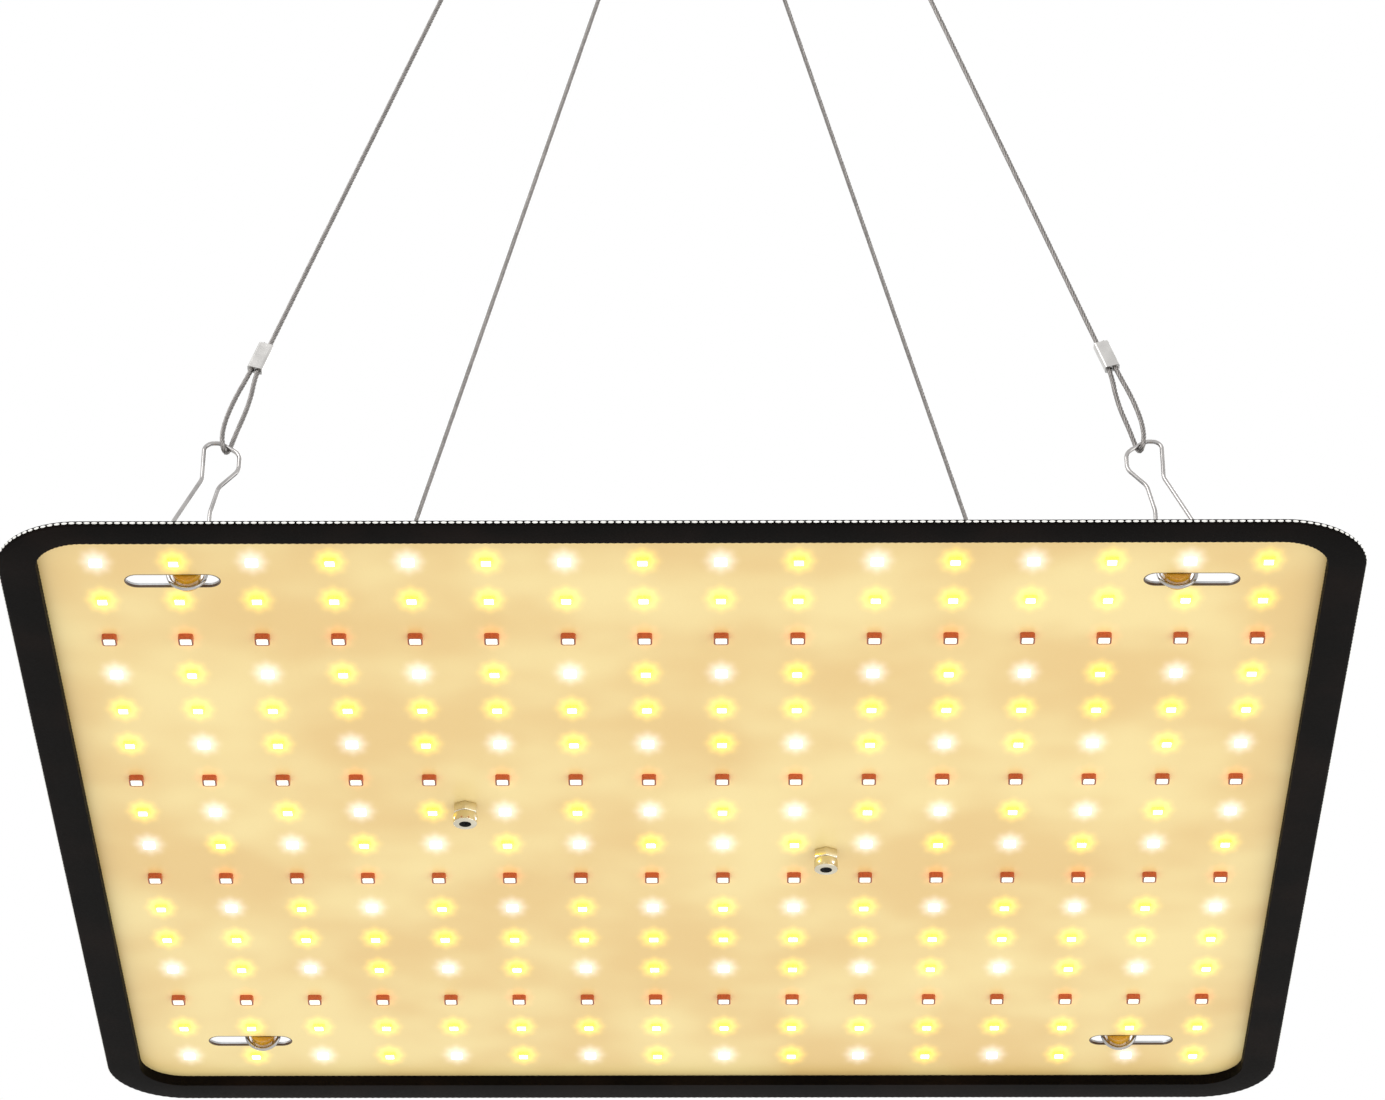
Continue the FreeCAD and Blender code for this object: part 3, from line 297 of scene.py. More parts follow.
@dataclass(frozen=True)
class BoardCoat:
    """White solder mask over aluminium, its white painted warm tan as lit by the lights, with a painted glow
    round each light; bare behind.
    """

    grid: LightGrid
    middle_z: float
    # mask and shade: the white mask painted warm tan as lit by the lights; the two mix at random in broad
    # clouds.
    mask: str = "#f3dc9a"
    shade: str = "#e6c480"
    bare: str = "#c9cacb"
    stretch: tuple[float, float] = (1.0, 0.62)
    slot_middle: tuple[float, float] = (116.3 * MM, 124.25 * MM)
    slot_size: tuple[float, float] = (21.5 * MM, 5.5 * MM)
    rim: float = 0.3 * MM
    halo: float = 5.8

    def glow(self, tree: Tree) -> tuple[bpy.types.NodeSocket, bpy.types.NodeSocket]:
        """Paint the light that spills on the board around each package, as a glow in the board's own surface.

        Args:
            tree: the material's tree.

        Returns:
            The spill's strength and its colour.
        """
        grid = self.grid
        split = tree.add("SeparateXYZ", {0: tree.place()})
        offsets, cells = [], []
        for axis in (0, 1):
            steps = tree.math("MULTIPLY_ADD", split.outputs[axis], 1 / grid.pitch, (grid.count - 1) / 2)
            nearest = tree.math("ROUND", steps)
            nearest = tree.math("MINIMUM", tree.math("MAXIMUM", nearest, 0.0), grid.count - 1.0)
            cells.append(nearest)
            gap = tree.math("SUBTRACT", steps, nearest)
            offsets.append(tree.math("MULTIPLY", gap, grid.pitch / MM * self.stretch[axis]))
        angle = tree.math("ARCTAN2", offsets[1], offsets[0])
        squares = tree.math("MULTIPLY", offsets[0], offsets[0])
        reach = tree.math("SQRT", tree.math("MULTIPLY_ADD", offsets[1], offsets[1], squares))
        # A faint eight-point star in the painted glow.
        star = tree.math("COSINE", tree.math("MULTIPLY", angle, 8.0))
        reach = tree.math("MULTIPLY", reach, tree.math("MULTIPLY_ADD", star, -0.045, 1.0))
        strength = tree.math("POWER", tree.ramp(reach, self.halo, 1.0), 2.1)
        red = self.among(tree, cells[1], grid.red_rows)
        warm = self.among(tree, cells[1], grid.warm_rows)
        odd = self.among(tree, cells[1], grid.cool_on_odd_rows)
        parity = tree.math("MODULO", cells[0], 2.0)
        unlike = tree.math("ABSOLUTE", tree.math("SUBTRACT", parity, odd))
        alike = tree.math("SUBTRACT", 1.0, unlike)
        cool = tree.math("MULTIPLY", alike, tree.math("SUBTRACT", 1.0, warm))
        colour = tree.mix(cool, linear("#ffdc1e"), linear("#dbe8ff"))
        white_share = tree.math("MULTIPLY_ADD", cool, -0.35, 1.0)
        share = tree.math("SUBTRACT", white_share, tree.math("MULTIPLY", red, 0.5))
        strength = tree.math("MULTIPLY", strength, share)
        return strength, tree.mix(red, colour, linear("#ff9a62"))

    @staticmethod
    def among(tree: Tree, row: bpy.types.NodeSocket, rows: tuple[int, ...]) -> bpy.types.NodeSocket:
        """Return 1 where the row is one of several, and 0 elsewhere."""
        total = 0.0
        for number in rows:
            total = tree.math("ADD", tree.math("COMPARE", row, float(number), 0.25), total)
        return total

    def slot_rim(self, tree: Tree) -> bpy.types.NodeSocket:
        """Return 1 on a thin line round each hanging slot and down its wall."""
        split = tree.add("SeparateXYZ", {0: tree.place()})
        x, y = (tree.math("ABSOLUTE", split.outputs[axis]) for axis in (0, 1))
        radius = self.slot_size[1] / 2
        run = tree.math("ABSOLUTE", tree.math("SUBTRACT", x, self.slot_middle[0]))
        run = tree.math("MAXIMUM", tree.math("SUBTRACT", run, self.slot_size[0] / 2 - radius), 0.0)
        side = tree.math("SUBTRACT", y, self.slot_middle[1])
        reach = tree.math("SQRT", tree.math("MULTIPLY_ADD", run, run, tree.math("MULTIPLY", side, side)))
        return tree.math("LESS_THAN", reach, radius + self.rim)

    def material(self) -> bpy.types.Material:
        """Build the material for both faces of the board."""
        tree = Tree.new("solder_mask_on_aluminium")
        strength, colour = self.glow(tree)
        height = tree.add("SeparateXYZ", {0: tree.place()}).outputs[2]
        behind = tree.math("GREATER_THAN", height, self.middle_z)
        front = tree.math("SUBTRACT", 1.0, behind)
        peel = tree.noise(0.9, 2.0)
        brushed = tree.noise(0.25, 3.0, Vector((60, 1, 1)))
        # Painted warm tan of the lit white mask, mixed at random in broad clouds.
        mask = tree.mix(tree.ramp(tree.noise(38.0), 0.3, 0.7), linear(self.mask), linear(self.shade))
        mask = tree.mix(self.slot_rim(tree), mask, linear("#4a3318"))
        bare = tree.mix(brushed, linear(self.bare), linear("#a9abad"))
        gloss = tree.math("MULTIPLY_ADD", brushed, tree.math("MULTIPLY", behind, 0.2), 0.36)
        texture = tree.math("ADD", tree.math("MULTIPLY", peel, front), tree.math("MULTIPLY", brushed, behind))
        shader = tree.add(
            "BsdfPrincipled",
            {
                "Base Color": tree.mix(behind, mask, bare),
                "Metallic": behind,
                "Roughness": gloss,
                "Emission Color": colour,
                # Painted glow: the board's surface gives off the spill light round each package.
                "Emission Strength": tree.math("MULTIPLY", strength, tree.math("MULTIPLY", front, 0.75)),
                "Normal": tree.bump(texture, 0.02),
            },
        )
        return tree.finish(shader)


@dataclass(frozen=True)
class Lit:
    """A lit part of a light package: phosphor, lens or housing, its glow even over its face."""

    name: str
    colour: str
    edge: str
    strength: float
    roughness: float = 0.3

    def material(self) -> bpy.types.Material:
        """Build the material: glow with a fine phosphor grain under a clear face."""
        tree = Tree.new(self.name)
        grain = tree.noise(0.25, 2.0)
        colour = tree.mix(tree.ramp(grain, 0.35, 0.8), linear(self.colour), linear(self.edge))
        shader = tree.add(
            "BsdfPrincipled",
            {
                "Base Color": colour,
                "Roughness": self.roughness,
                "Emission Color": colour,
                "Emission Strength": self.strength,
                "Normal": tree.bump(grain, 0.01),
            },
        )
        return tree.finish(shader)


@dataclass(frozen=True)
class GuardRubber:
    """Extruded black rubber: dull, dusty in broad patches, with a fine drag texture."""

    colour: str = "#080605"
    dust: str = "#140d0a"

    def material(self) -> bpy.types.Material:
        """Build the material."""
        tree = Tree.new("extruded_epdm_rubber")
        grain = tree.noise(0.35, 4.0)
        clouds = tree.noise(22.0, 3.0)
        colour = tree.mix(tree.ramp(clouds, 0.35, 0.8), linear(self.colour), linear(self.dust))
        gloss = tree.math("MULTIPLY_ADD", grain, 0.25, 0.42)
        shader = tree.add(
            "BsdfPrincipled",
            {
                "Base Color": colour,
                "Roughness": gloss,
                "IOR": 1.52,
                "Specular IOR Level": 0.03,
                "Normal": tree.bump(grain, 0.03),
            },
        )
        return tree.finish(shader)


@dataclass(frozen=True)
class Finishes:
    """Every plain finish of the light, by slot."""

    hook_steel: Metal = Metal("bright_spring_wire", "#b3b0ae", 0.14, 0.3, 0.004, (1, 1, 14))
    wire_rope: Metal = Metal("drawn_stainless_strand", "#96928f", 0.28, 0.12, 0.004, (1, 1, 6))
    ferrule_metal: Metal = Metal("pressed_aluminium", "#d2d0cd", 0.3, 0.5, 0.02)
    carabiner_steel: Metal = Metal("plated_steel", "#cfcfd0", 0.14, 0.8, 0.006)
    pin_steel: Metal = Metal("turned_steel", "#b4b4b5", 0.3, 0.1, 0.004, (8, 1, 1))
    zinc_steel: Metal = Metal("zinc_plated_steel", "#bfc0bd", 0.3, 0.4, 0.01)
    nut_plating: Metal = Metal("bright_nickel_plate", "#e2dac4", 0.16, 0.5, 0.006)
    capacitor_can: Moulding = Moulding("shrink_sleeve_pvc", "#1d2233", "#2a3148", 0.3, 0.8, 0.02, 1.54)
    saddle_plastic: Moulding = Moulding("amber_nylon", "#e3ab2a", "#c98a16", 0.15, 0.6, 0.01, 1.53, 0.5, 0.2)
    case_metal: Moulding = Moulding("powder_coated_steel", "#c9cbcc", "#bcbfc1", 0.42, 0.45, 0.03)
    gland_plastic: Moulding = Moulding("moulded_polyamide", "#1a1a1b", "#262627", 0.45, 0.3, 0.02)
    grommet_rubber: Moulding = Moulding("moulded_rubber", "#161616", "#232221", 0.6, 0.3, 0.03)
    lead_red: Moulding = Moulding("red_silicone_insulation", "#a51c16", "#8e1712", 0.35, 0.4, 0.01)
    lead_black: Moulding = Moulding("black_silicone_insulation", "#171717", "#222222", 0.35, 0.4, 0.01)
    socket_plastic: Moulding = Moulding("ivory_polyamide", "#e6e1d2", "#d8d2c0", 0.4, 0.3, 0.015)
    circuit_laminate: Moulding = Moulding("green_epoxy_laminate", "#1f6b3a", "#185a30", 0.25, 0.4, 0.01)
    ferrite: Moulding = Moulding("sintered_ferrite", "#2c2c2e", "#3a3a3c", 0.65, 0.35, 0.04, 2.2)
    copper_winding: Moulding = Moulding("polyester_tape", "#d9a726", "#c7941c", 0.25, 0.8, 0.02, 1.57)
    choke_winding: Metal = Metal("enamelled_copper", "#b5622c", 0.25, 0.4, 0.05, (1, 1, 4))
    epoxy_package: Moulding = Moulding("epoxy_moulding", "#1b1b1c", "#272728", 0.55, 0.2, 0.02)
    fuse_glass: Moulding = Moulding("soda_glass", "#eef2f2", "#e2e8e8", 0.05, 2.0, 0.002, 1.52, 0.0, 0.9)
    standoff_nylon: Moulding = Moulding("natural_nylon", "#e8e5da", "#dcd8cb", 0.45, 0.3, 0.015)
    pad_silicone: Moulding = Moulding("filled_silicone", "#8d9197", "#7e8288", 0.7, 0.5, 0.03)

    def __post_init__(self) -> None:
        """Start with no material built."""
        object.__setattr__(self, "built", {})

    def of(self, slot: str) -> bpy.types.Material:
        """Return a slot's material, building it once."""
        if slot not in self.built:
            self.built[slot] = getattr(self, slot).material()
        return self.built[slot]


# ---------------------------------------------------------------------------------------------
# Making and placing pieces
# ---------------------------------------------------------------------------------------------
def dress(name: str, *materials: bpy.types.Material) -> bpy.types.Object:
    """Give a carried-over part its materials.

    Args:
        name: the part's node.
        materials: one material for each of its slots.

    Returns:
        The part's object.
    """
    part = bpy.data.objects[name]
    part.data.materials.clear()
    for material in materials:
        part.data.materials.append(material)
    return part


@dataclass
class Workshop:
    """Turns finished meshes into pieces of the light."""

    finishes: Finishes

    def piece(
        self, name: str, mesh: bpy.types.Mesh, body: Body, slot: str, replaced: tuple[str, ...]
    ) -> bpy.types.Object:
        """Add a mesh to the scene as a piece.

        Args:
            name: the piece's name.
            mesh: its finished mesh, in place.
            body: the body that it rides on.
            slot: the slot that its finish comes from; it is not used.
            replaced: the carried-over parts that it stands for.

        Returns:
            The piece.
        """
        mesh.name = name
        item = bpy.data.objects.new(name, mesh)
        bpy.context.scene.collection.objects.link(item)
        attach(item, body.value)
        if replaced:
            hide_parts(*replaced)
        log.info("%s: %d faces on %s", name, len(mesh.polygons), body.value)
        return item

    def mesh(self, name: str, bm: bmesh.types.BMesh, *materials: bpy.types.Material) -> bpy.types.Mesh:
        """Turn a bmesh into a mesh with its materials.

        Args:
            name: the mesh's name.
            bm: the shape; it is freed.
            materials: the mesh's materials, in slot order.

        Returns:
            The mesh.
        """
        mesh = bpy.data.meshes.new(name)
        bm.to_mesh(mesh)
        bm.free()
        for material in materials:
            mesh.materials.append(material)
        return mesh


def repeat(template: bpy.types.Mesh, matrices: list[Matrix]) -> bmesh.types.BMesh:
    """Copy a mesh to several places.

    Args:
        template: the shape to copy; it is removed.
        matrices: where each copy goes.

    Returns:
        One bmesh of all the copies.
    """
    bm = bmesh.new()
    for matrix in matrices:
        before = len(bm.verts)
        bm.from_mesh(template)
        bm.verts.ensure_lookup_table()
        bmesh.ops.transform(bm, matrix=matrix, verts=bm.verts[before:])
    bpy.data.meshes.remove(template)
    return bm


def rounded(bm: bmesh.types.BMesh, edges: list, width: float, segments: int = 2) -> None:
    """Round some edges of a shape."""
    bmesh.ops.bevel(
        bm, geom=edges, offset=width, segments=segments, profile=0.5, affect="EDGES", material=-1
    )


def curve_mesh(curve: bpy.types.Curve) -> bpy.types.Mesh:
    """Turn a curve into a mesh and remove the curve."""
    holder = bpy.data.objects.new("curve_holder", curve)
    bpy.context.scene.collection.objects.link(holder)
    bpy.context.view_layer.update()
    graph = bpy.context.evaluated_depsgraph_get()
    mesh = bpy.data.meshes.new_from_object(holder.evaluated_get(graph))
    bpy.data.objects.remove(holder)
    bpy.data.curves.remove(curve)
    return mesh


def shade_smooth(mesh: bpy.types.Mesh, angle: float = 40.0) -> bpy.types.Mesh:
    """Shade a mesh smooth, apart from edges sharper than an angle in degrees."""
    mesh.shade_smooth()
    bm = bmesh.new()
    bm.from_mesh(mesh)
    for edge in bm.edges:
        edge.smooth = len(edge.link_faces) != 2 or edge.calc_face_angle(0.0) < math.radians(angle)
    bm.to_mesh(mesh)
    bm.free()
    return mesh


# ---------------------------------------------------------------------------------------------
# Wire rope and leads
# ---------------------------------------------------------------------------------------------
@dataclass
class Route:
    """A cord's route: the control points of one smooth line."""

    points: list[Vector]

    def curve(self, name: str) -> bpy.types.Curve:
        """Make the route's line."""
        curve = bpy.data.curves.new(name, "CURVE")
        curve.dimensions = "3D"
        curve.resolution_u = 24
        spline = curve.splines.new("NURBS")
        spline.points.add(len(self.points) - 1)
        for target, point in zip(spline.points, self.points):
            target.co = (*point, 1.0)
        spline.order_u = 3
        spline.use_endpoint_u = True
        return curve

    def line(self) -> list[Vector]:
        """Read points along the line."""
        mesh = curve_mesh(self.curve("route_line"))
        points = [v.co.copy() for v in mesh.vertices]
        bpy.data.meshes.remove(mesh)
        if (points[0] - self.points[0]).length > (points[-1] - self.points[0]).length:
            points.reverse()
        return points

    def even(self, step: float) -> list[Vector]:
        """Read points along the line at even steps."""
        line = self.line()
        runs = [(b - a).length for a, b in zip(line, line[1:])]
        count = max(2, round(sum(runs) / step))
        spacing = sum(runs) / count
        result, gone, index = [line[0]], 0.0, 0
        for number in range(1, count):
            goal = number * spacing
            while gone + runs[index] < goal:
                gone += runs[index]
                index += 1
            result.append(line[index].lerp(line[index + 1], (goal - gone) / max(runs[index], 1e-9)))
        return result + [line[-1]]


@dataclass
class LaidRope:
    """A wire rope of several strands laid around a core."""

    diameter: float
    strands: int = 6
    lay: float = 6.5 * MM
    step: float = 0.65 * MM

    def mesh(self, route: Route) -> tuple[bpy.types.Mesh, list[Vector]]:
        """Lay the strands along a route.

        Args:
            route: the rope's route.

        Returns:
            The rope's mesh and the points that it follows.
        """
        path = route.even(self.step)
        strand = self.diameter / 3
        curve = bpy.data.curves.new("strands", "CURVE")
        curve.dimensions = "3D"
        curve.bevel_depth = strand / 2 * 1.06
        curve.bevel_resolution = 1
        curve.use_fill_caps = True
        frames = self.frames(path)
        for number in range(self.strands + 1):
            spline = curve.splines.new("POLY")
            spline.points.add(len(path) - 1)
            radius = 0.0 if number == self.strands else strand
            for index, (point, (side, up)) in enumerate(zip(path, frames)):
                turn = 2 * math.pi * (number / self.strands + index * self.step / self.lay)
                place = point + (side * math.cos(turn) + up * math.sin(turn)) * radius
                spline.points[index].co = (*place, 1.0)
        mesh = curve_mesh(curve)
        mesh.shade_smooth()
        return mesh, path

    @staticmethod
    def frames(path: list[Vector]) -> list[tuple[Vector, Vector]]:
        """Carry a pair of cross directions along a path without twist."""
        side = Vector((0, 1, 0))
        frames = []
        for index, point in enumerate(path):
            ahead = path[min(index + 1, len(path) - 1)] - path[max(index - 1, 0)]
            ahead.normalize()
            side = (side - ahead * side.dot(ahead)).normalized()
            frames.append((side, ahead.cross(side)))
        return frames


@dataclass
class Bridle:
    """One side's rope with its hooks, saddles, ferrules and carabiner."""

    shop: Workshop
    side: Side
    lean: float = 11.02
    slot_y: float = 124.25 * MM
    length: float = 0.781
    diameter: float = 1.2 * MM

    @property
    def tag(self) -> str:
        """The side's name in node names."""
        return self.side.name.lower()

    def plane(self) -> Matrix:
        """The place of the rope's plane: X across the light, Z up the plane."""
        turn = Matrix.Rotation(math.radians(self.side.value * self.lean), 4, "X")
        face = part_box("led_board")[0].z
        return Matrix.Translation((0, self.side.value * self.slot_y, face)) @ turn

    def route(self) -> Route:
        """The rope's route, from the left tail over the carabiner to the right one."""
        left = [
            (-0.09895, 0, 0.07341),
            (-0.10184, 0, 0.06426),
            (-0.10532, -0.0006, 0.0545),
            (-0.10732, -0.0011, 0.0455),
            (-0.10702, -0.0013, 0.0394),
            (-0.10592, 0.0013, 0.0394),
            (-0.10452, 0.0011, 0.0452),
            (-0.10152, 0.0005, 0.055),
            (-0.10051, 0, 0.06383),
            (-0.09749, 0, 0.07337),
            (-0.00354, 0, 0.37037),
            (-0.0019, 0, 0.37553),
        ]
        right = [(-x, y, z) for x, y, z in reversed(left)]
        plane = self.plane()
        return Route([plane @ Vector(p) for p in left + right])

    def rope(self) -> None:
        route = self.route()
        mesh, path = LaidRope(self.diameter).mesh(route)
        mesh.materials.append(self.shop.finishes.of("wire_rope"))
        name = f"wire_rope_{self.tag}"
        item = self.shop.piece(name, mesh, Body.LIGHT, "wire_rope", (f"rope_{self.tag}",))

    def hardware(self) -> None:
        """Dress the hooks, saddles, ferrules and carabiner."""
        of = self.shop.finishes.of
        for hand in ("left", "right"):
            dress(f"hook_{self.tag}_{hand}", of("hook_steel"))
            dress(f"hook_saddle_{self.tag}_{hand}", of("saddle_plastic"))
        dress(f"ferrules_{self.tag}", of("ferrule_metal"))
        dress(f"carabiner_{self.tag}", of("carabiner_steel"))
        dress(f"gate_{self.tag}", of("carabiner_steel"))
        dress(f"gate_pin_{self.tag}", of("pin_steel"))

    def build(self) -> None:
        """Make the whole side."""
        self.rope()
        self.hardware()


# ---------------------------------------------------------------------------------------------
# Board, guard and lights
# ---------------------------------------------------------------------------------------------
@dataclass
class EdgeGuard:
    """The ribbed guard round the board: a section swept round, swelling at each rib."""

    shop: Workshop
    width: float = 310 * MM
    corner: float = 20 * MM
    face: float = 8.75 * MM
    rib_pitch: float = 1.75 * MM
    rib_swell: float = 0.02

    def section(self) -> bpy.types.Object:
        """Make the guard's section as a closed outline, its outside along the path's right."""
        half = self.face / 2
        outline = [
            (-4.375, -2.35),
            (3.6, -2.35),
            (4.1, -2.2),
            (4.33, -1.95),
            (4.375, -1.7),
            (4.375, -1.45),
            (4.25, -1.28),
            (-2.2, 2.23),
            (-2.6, 2.35),
            (-4.2, 2.35),
            (-4.375, 2.2),
            (-4.375, 1.6),
            (-1.82, 1.6),
            (-1.82, 0.5),
            (-4.375, 0.5),
        ]
        curve = bpy.data.curves.new("guard_section", "CURVE")
        curve.dimensions = "2D"
        spline = curve.splines.new("POLY")
        spline.points.add(len(outline) - 1)
        for target, (x, y) in zip(spline.points, outline):
            target.co = (-x * half / 4.375, y * MM, 0.0, 1.0)
        spline.use_cyclic_u = True
        holder = bpy.data.objects.new("guard_section", curve)
        bpy.context.scene.collection.objects.link(holder)
        return holder

    def round_trip(self, inset: float, count: int) -> list[Matrix]:
        """Return even places round the guard, each with its X outward.

        Args:
            inset: how far the places lie in from the outside.
            count: how many places there are.

        Returns:
            The places, in the plane through the origin.
        """
        half = self.width / 2 - inset
        radius = self.corner - inset
        straight, bend = 2 * (half - radius), radius * math.pi / 2
        places = []
        for number in range(count):
            quarter, along = divmod(number * 4 * (straight + bend) / count, straight + bend)
            turn = max(0.0, along - straight) / radius
            x, y = half - radius + radius * math.cos(turn), min(along, straight) - straight / 2
            spot = Matrix.Translation((x, y + radius * math.sin(turn), 0)) @ Matrix.Rotation(turn, 4, "Z")
            places.append(Matrix.Rotation(quarter * math.pi / 2, 4, "Z") @ spot)
        return places

    def beads(self) -> bmesh.types.BMesh:
        """Make the row of small white beads along the outer wall: painted highlights for the glints on the
        guard's ribs.
        """
        bm = bmesh.new()
        bmesh.ops.create_icosphere(bm, subdivisions=2, radius=1.0)
        bmesh.ops.scale(bm, vec=(0.2 * MM, 0.7 * MM, 0.27 * MM), verts=bm.verts)
        template = bpy.data.meshes.new("bead")
        bm.to_mesh(template)
        bm.free()
        count = round(4 * self.width / self.rib_pitch)
        lift = Matrix.Translation((0, 0, -1.78 * MM))
        return repeat(template, [lift @ spot for spot in self.round_trip(0.05 * MM, count)])

    def build(self) -> None:
        """Sweep the section round and swell it at every second point."""
        section = self.section()
        curve = bpy.data.curves.new("guard_path", "CURVE")
        curve.dimensions = "2D"
        curve.bevel_mode = "OBJECT"
        curve.bevel_object = section
        spline = curve.splines.new("POLY")
        places = self.round_trip(self.face / 2, 2 * round(4 * self.width / self.rib_pitch))
        spline.points.add(len(places) - 1)
        for index, place in enumerate(places):
            spline.points[index].co = (*place.translation, 1.0)
            spline.points[index].radius = 1.0 if index % 2 == 0 else 1.0 - self.rib_swell
        spline.use_cyclic_u = True
        mesh = curve_mesh(curve)
        bpy.data.objects.remove(section)
        low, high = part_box("edge_guard")
        level = Matrix.Translation((0, 0, (low.z + high.z) / 2))
        bm = bmesh.new()
        bm.from_mesh(mesh)
        bmesh.ops.recalc_face_normals(bm, faces=bm.faces)
        bm.transform(level)
        bpy.data.meshes.remove(mesh)
        mesh = self.shop.mesh("ribbed_guard", bm, GuardRubber().material())
        shade_smooth(mesh, 50.0)
        self.shop.piece("ribbed_guard", mesh, Body.LIGHT, "guard_rubber", ("edge_guard",))
        row = self.beads()
        row.transform(level)
        # White glossy beads: painted highlights for the ribs' glints, not a real part of the rubber.
        pale = Moulding("painted_highlight_beads", "#f4f3ef", "#e4e2dc", 0.25, 0.5, 0.01, 1.5, 0.4)
        mesh = shade_smooth(self.shop.mesh("guard_beads", row, pale.material()))
        self.shop.piece("guard_beads", mesh, Body.LIGHT, "guard_rubber", ())


@dataclass
class LightField:
    """The board and all its light packages."""

    shop: Workshop
    grid: LightGrid
    white_side: float = 3.0 * MM
    white_tall: float = 0.7 * MM
    red_side: float = 3.5 * MM
    red_tall: float = 1.4 * MM

    def package(self, side: float, tall: float, window: float, sink: float, corner: float) -> bpy.types.Mesh:
        """Make one light package facing down, its back at the origin.

        Args:
            side: the package's side.
            tall: its height.
            window: the window's share of its face.
            sink: how far the window lies in, or stands out if it is negative.
            corner: the rounding of its corners.

        Returns:
            A mesh whose second material is the rim of the window and whose third is the window.
        """
        bm = bmesh.new()
        bmesh.ops.create_cube(bm, size=1.0)
        bmesh.ops.scale(bm, vec=(side, side, tall), verts=bm.verts)
        bmesh.ops.translate(bm, vec=(0, 0, -tall / 2), verts=bm.verts)
        upright = [e for e in bm.edges if abs(e.verts[0].co.z - e.verts[1].co.z) > tall / 2]
        rounded(bm, upright, corner, 3)
        bm.normal_update()
        face = next(f for f in bm.faces if f.normal.z < -0.9)
        thick = side * (1 - window) / 2
        bmesh.ops.inset_region(bm, faces=[face], thickness=thick * 0.4, use_even_offset=True)
        ring = bmesh.ops.inset_region(bm, faces=[face], thickness=thick * 0.6, use_even_offset=True)
        for rim in ring["faces"]:
            rim.material_index = 1
        face.material_index = 2
        bmesh.ops.inset_region(bm, faces=[face], thickness=side * 0.12, depth=0.0, use_even_offset=True)
        bmesh.ops.translate(bm, vec=(0, 0, sink), verts=face.verts)
        mesh = bpy.data.meshes.new("package")
        bm.to_mesh(mesh)
        bm.free()
        return mesh

    def lights(self, kind: str, slot: str, template: bpy.types.Mesh, *materials: bpy.types.Material) -> None:
        """Set out one kind of light over the board."""
        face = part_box("led_board")[0].z
        spots = [Matrix.Translation((x, y, face)) for x, y in self.grid.places(kind)]
        bm = repeat(template, spots)
        mesh = self.shop.mesh(f"{kind}_lights", bm, *materials)
        self.shop.piece(f"{kind}_lights", mesh, Body.LIGHT, slot, (f"{kind}_leds",))

    def build(self) -> None:
        """Dress the board and set out the lights."""
        low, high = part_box("led_board")
        dress("led_board", BoardCoat(self.grid, (low.z + high.z) / 2).material())
        shell = Lit("cool_lit_housing", "#f4f6f4", "#e8eef4", 0.5).material()
        warm_shell = Lit("warm_lit_housing", "#ffe970", "#ffe052", 0.6).material()
        cool = Lit("cool_phosphor", "#fdfdff", "#f2f4ff", 6.0).material()
        warm = Lit("warm_phosphor", "#fffbe6", "#fff0c0", 6.0).material()
        red_shell = Lit("red_lit_housing", "#b8552c", "#9c4421", 0.12).material()
        outline = Lit("window_outline", "#5e3d28", "#4c3020", 0.0).material()
        red = Lit("deep_red_lens", "#fff8e8", "#fdeed8", 0.55, 0.15).material()
        white = (self.white_side, self.white_tall, 0.7, 0.05 * MM, 0.5 * MM)
        self.lights("cool_white", "cool_white_phosphor", self.package(*white), shell, shell, cool)
        self.lights("warm_white", "warm_white_phosphor", self.package(*white), warm_shell, warm_shell, warm)
        lens = self.package(self.red_side, self.red_tall, 0.76, -0.15 * MM, 0.7 * MM)
        self.lights("deep_red", "deep_red_lens", lens, red_shell, outline, red)


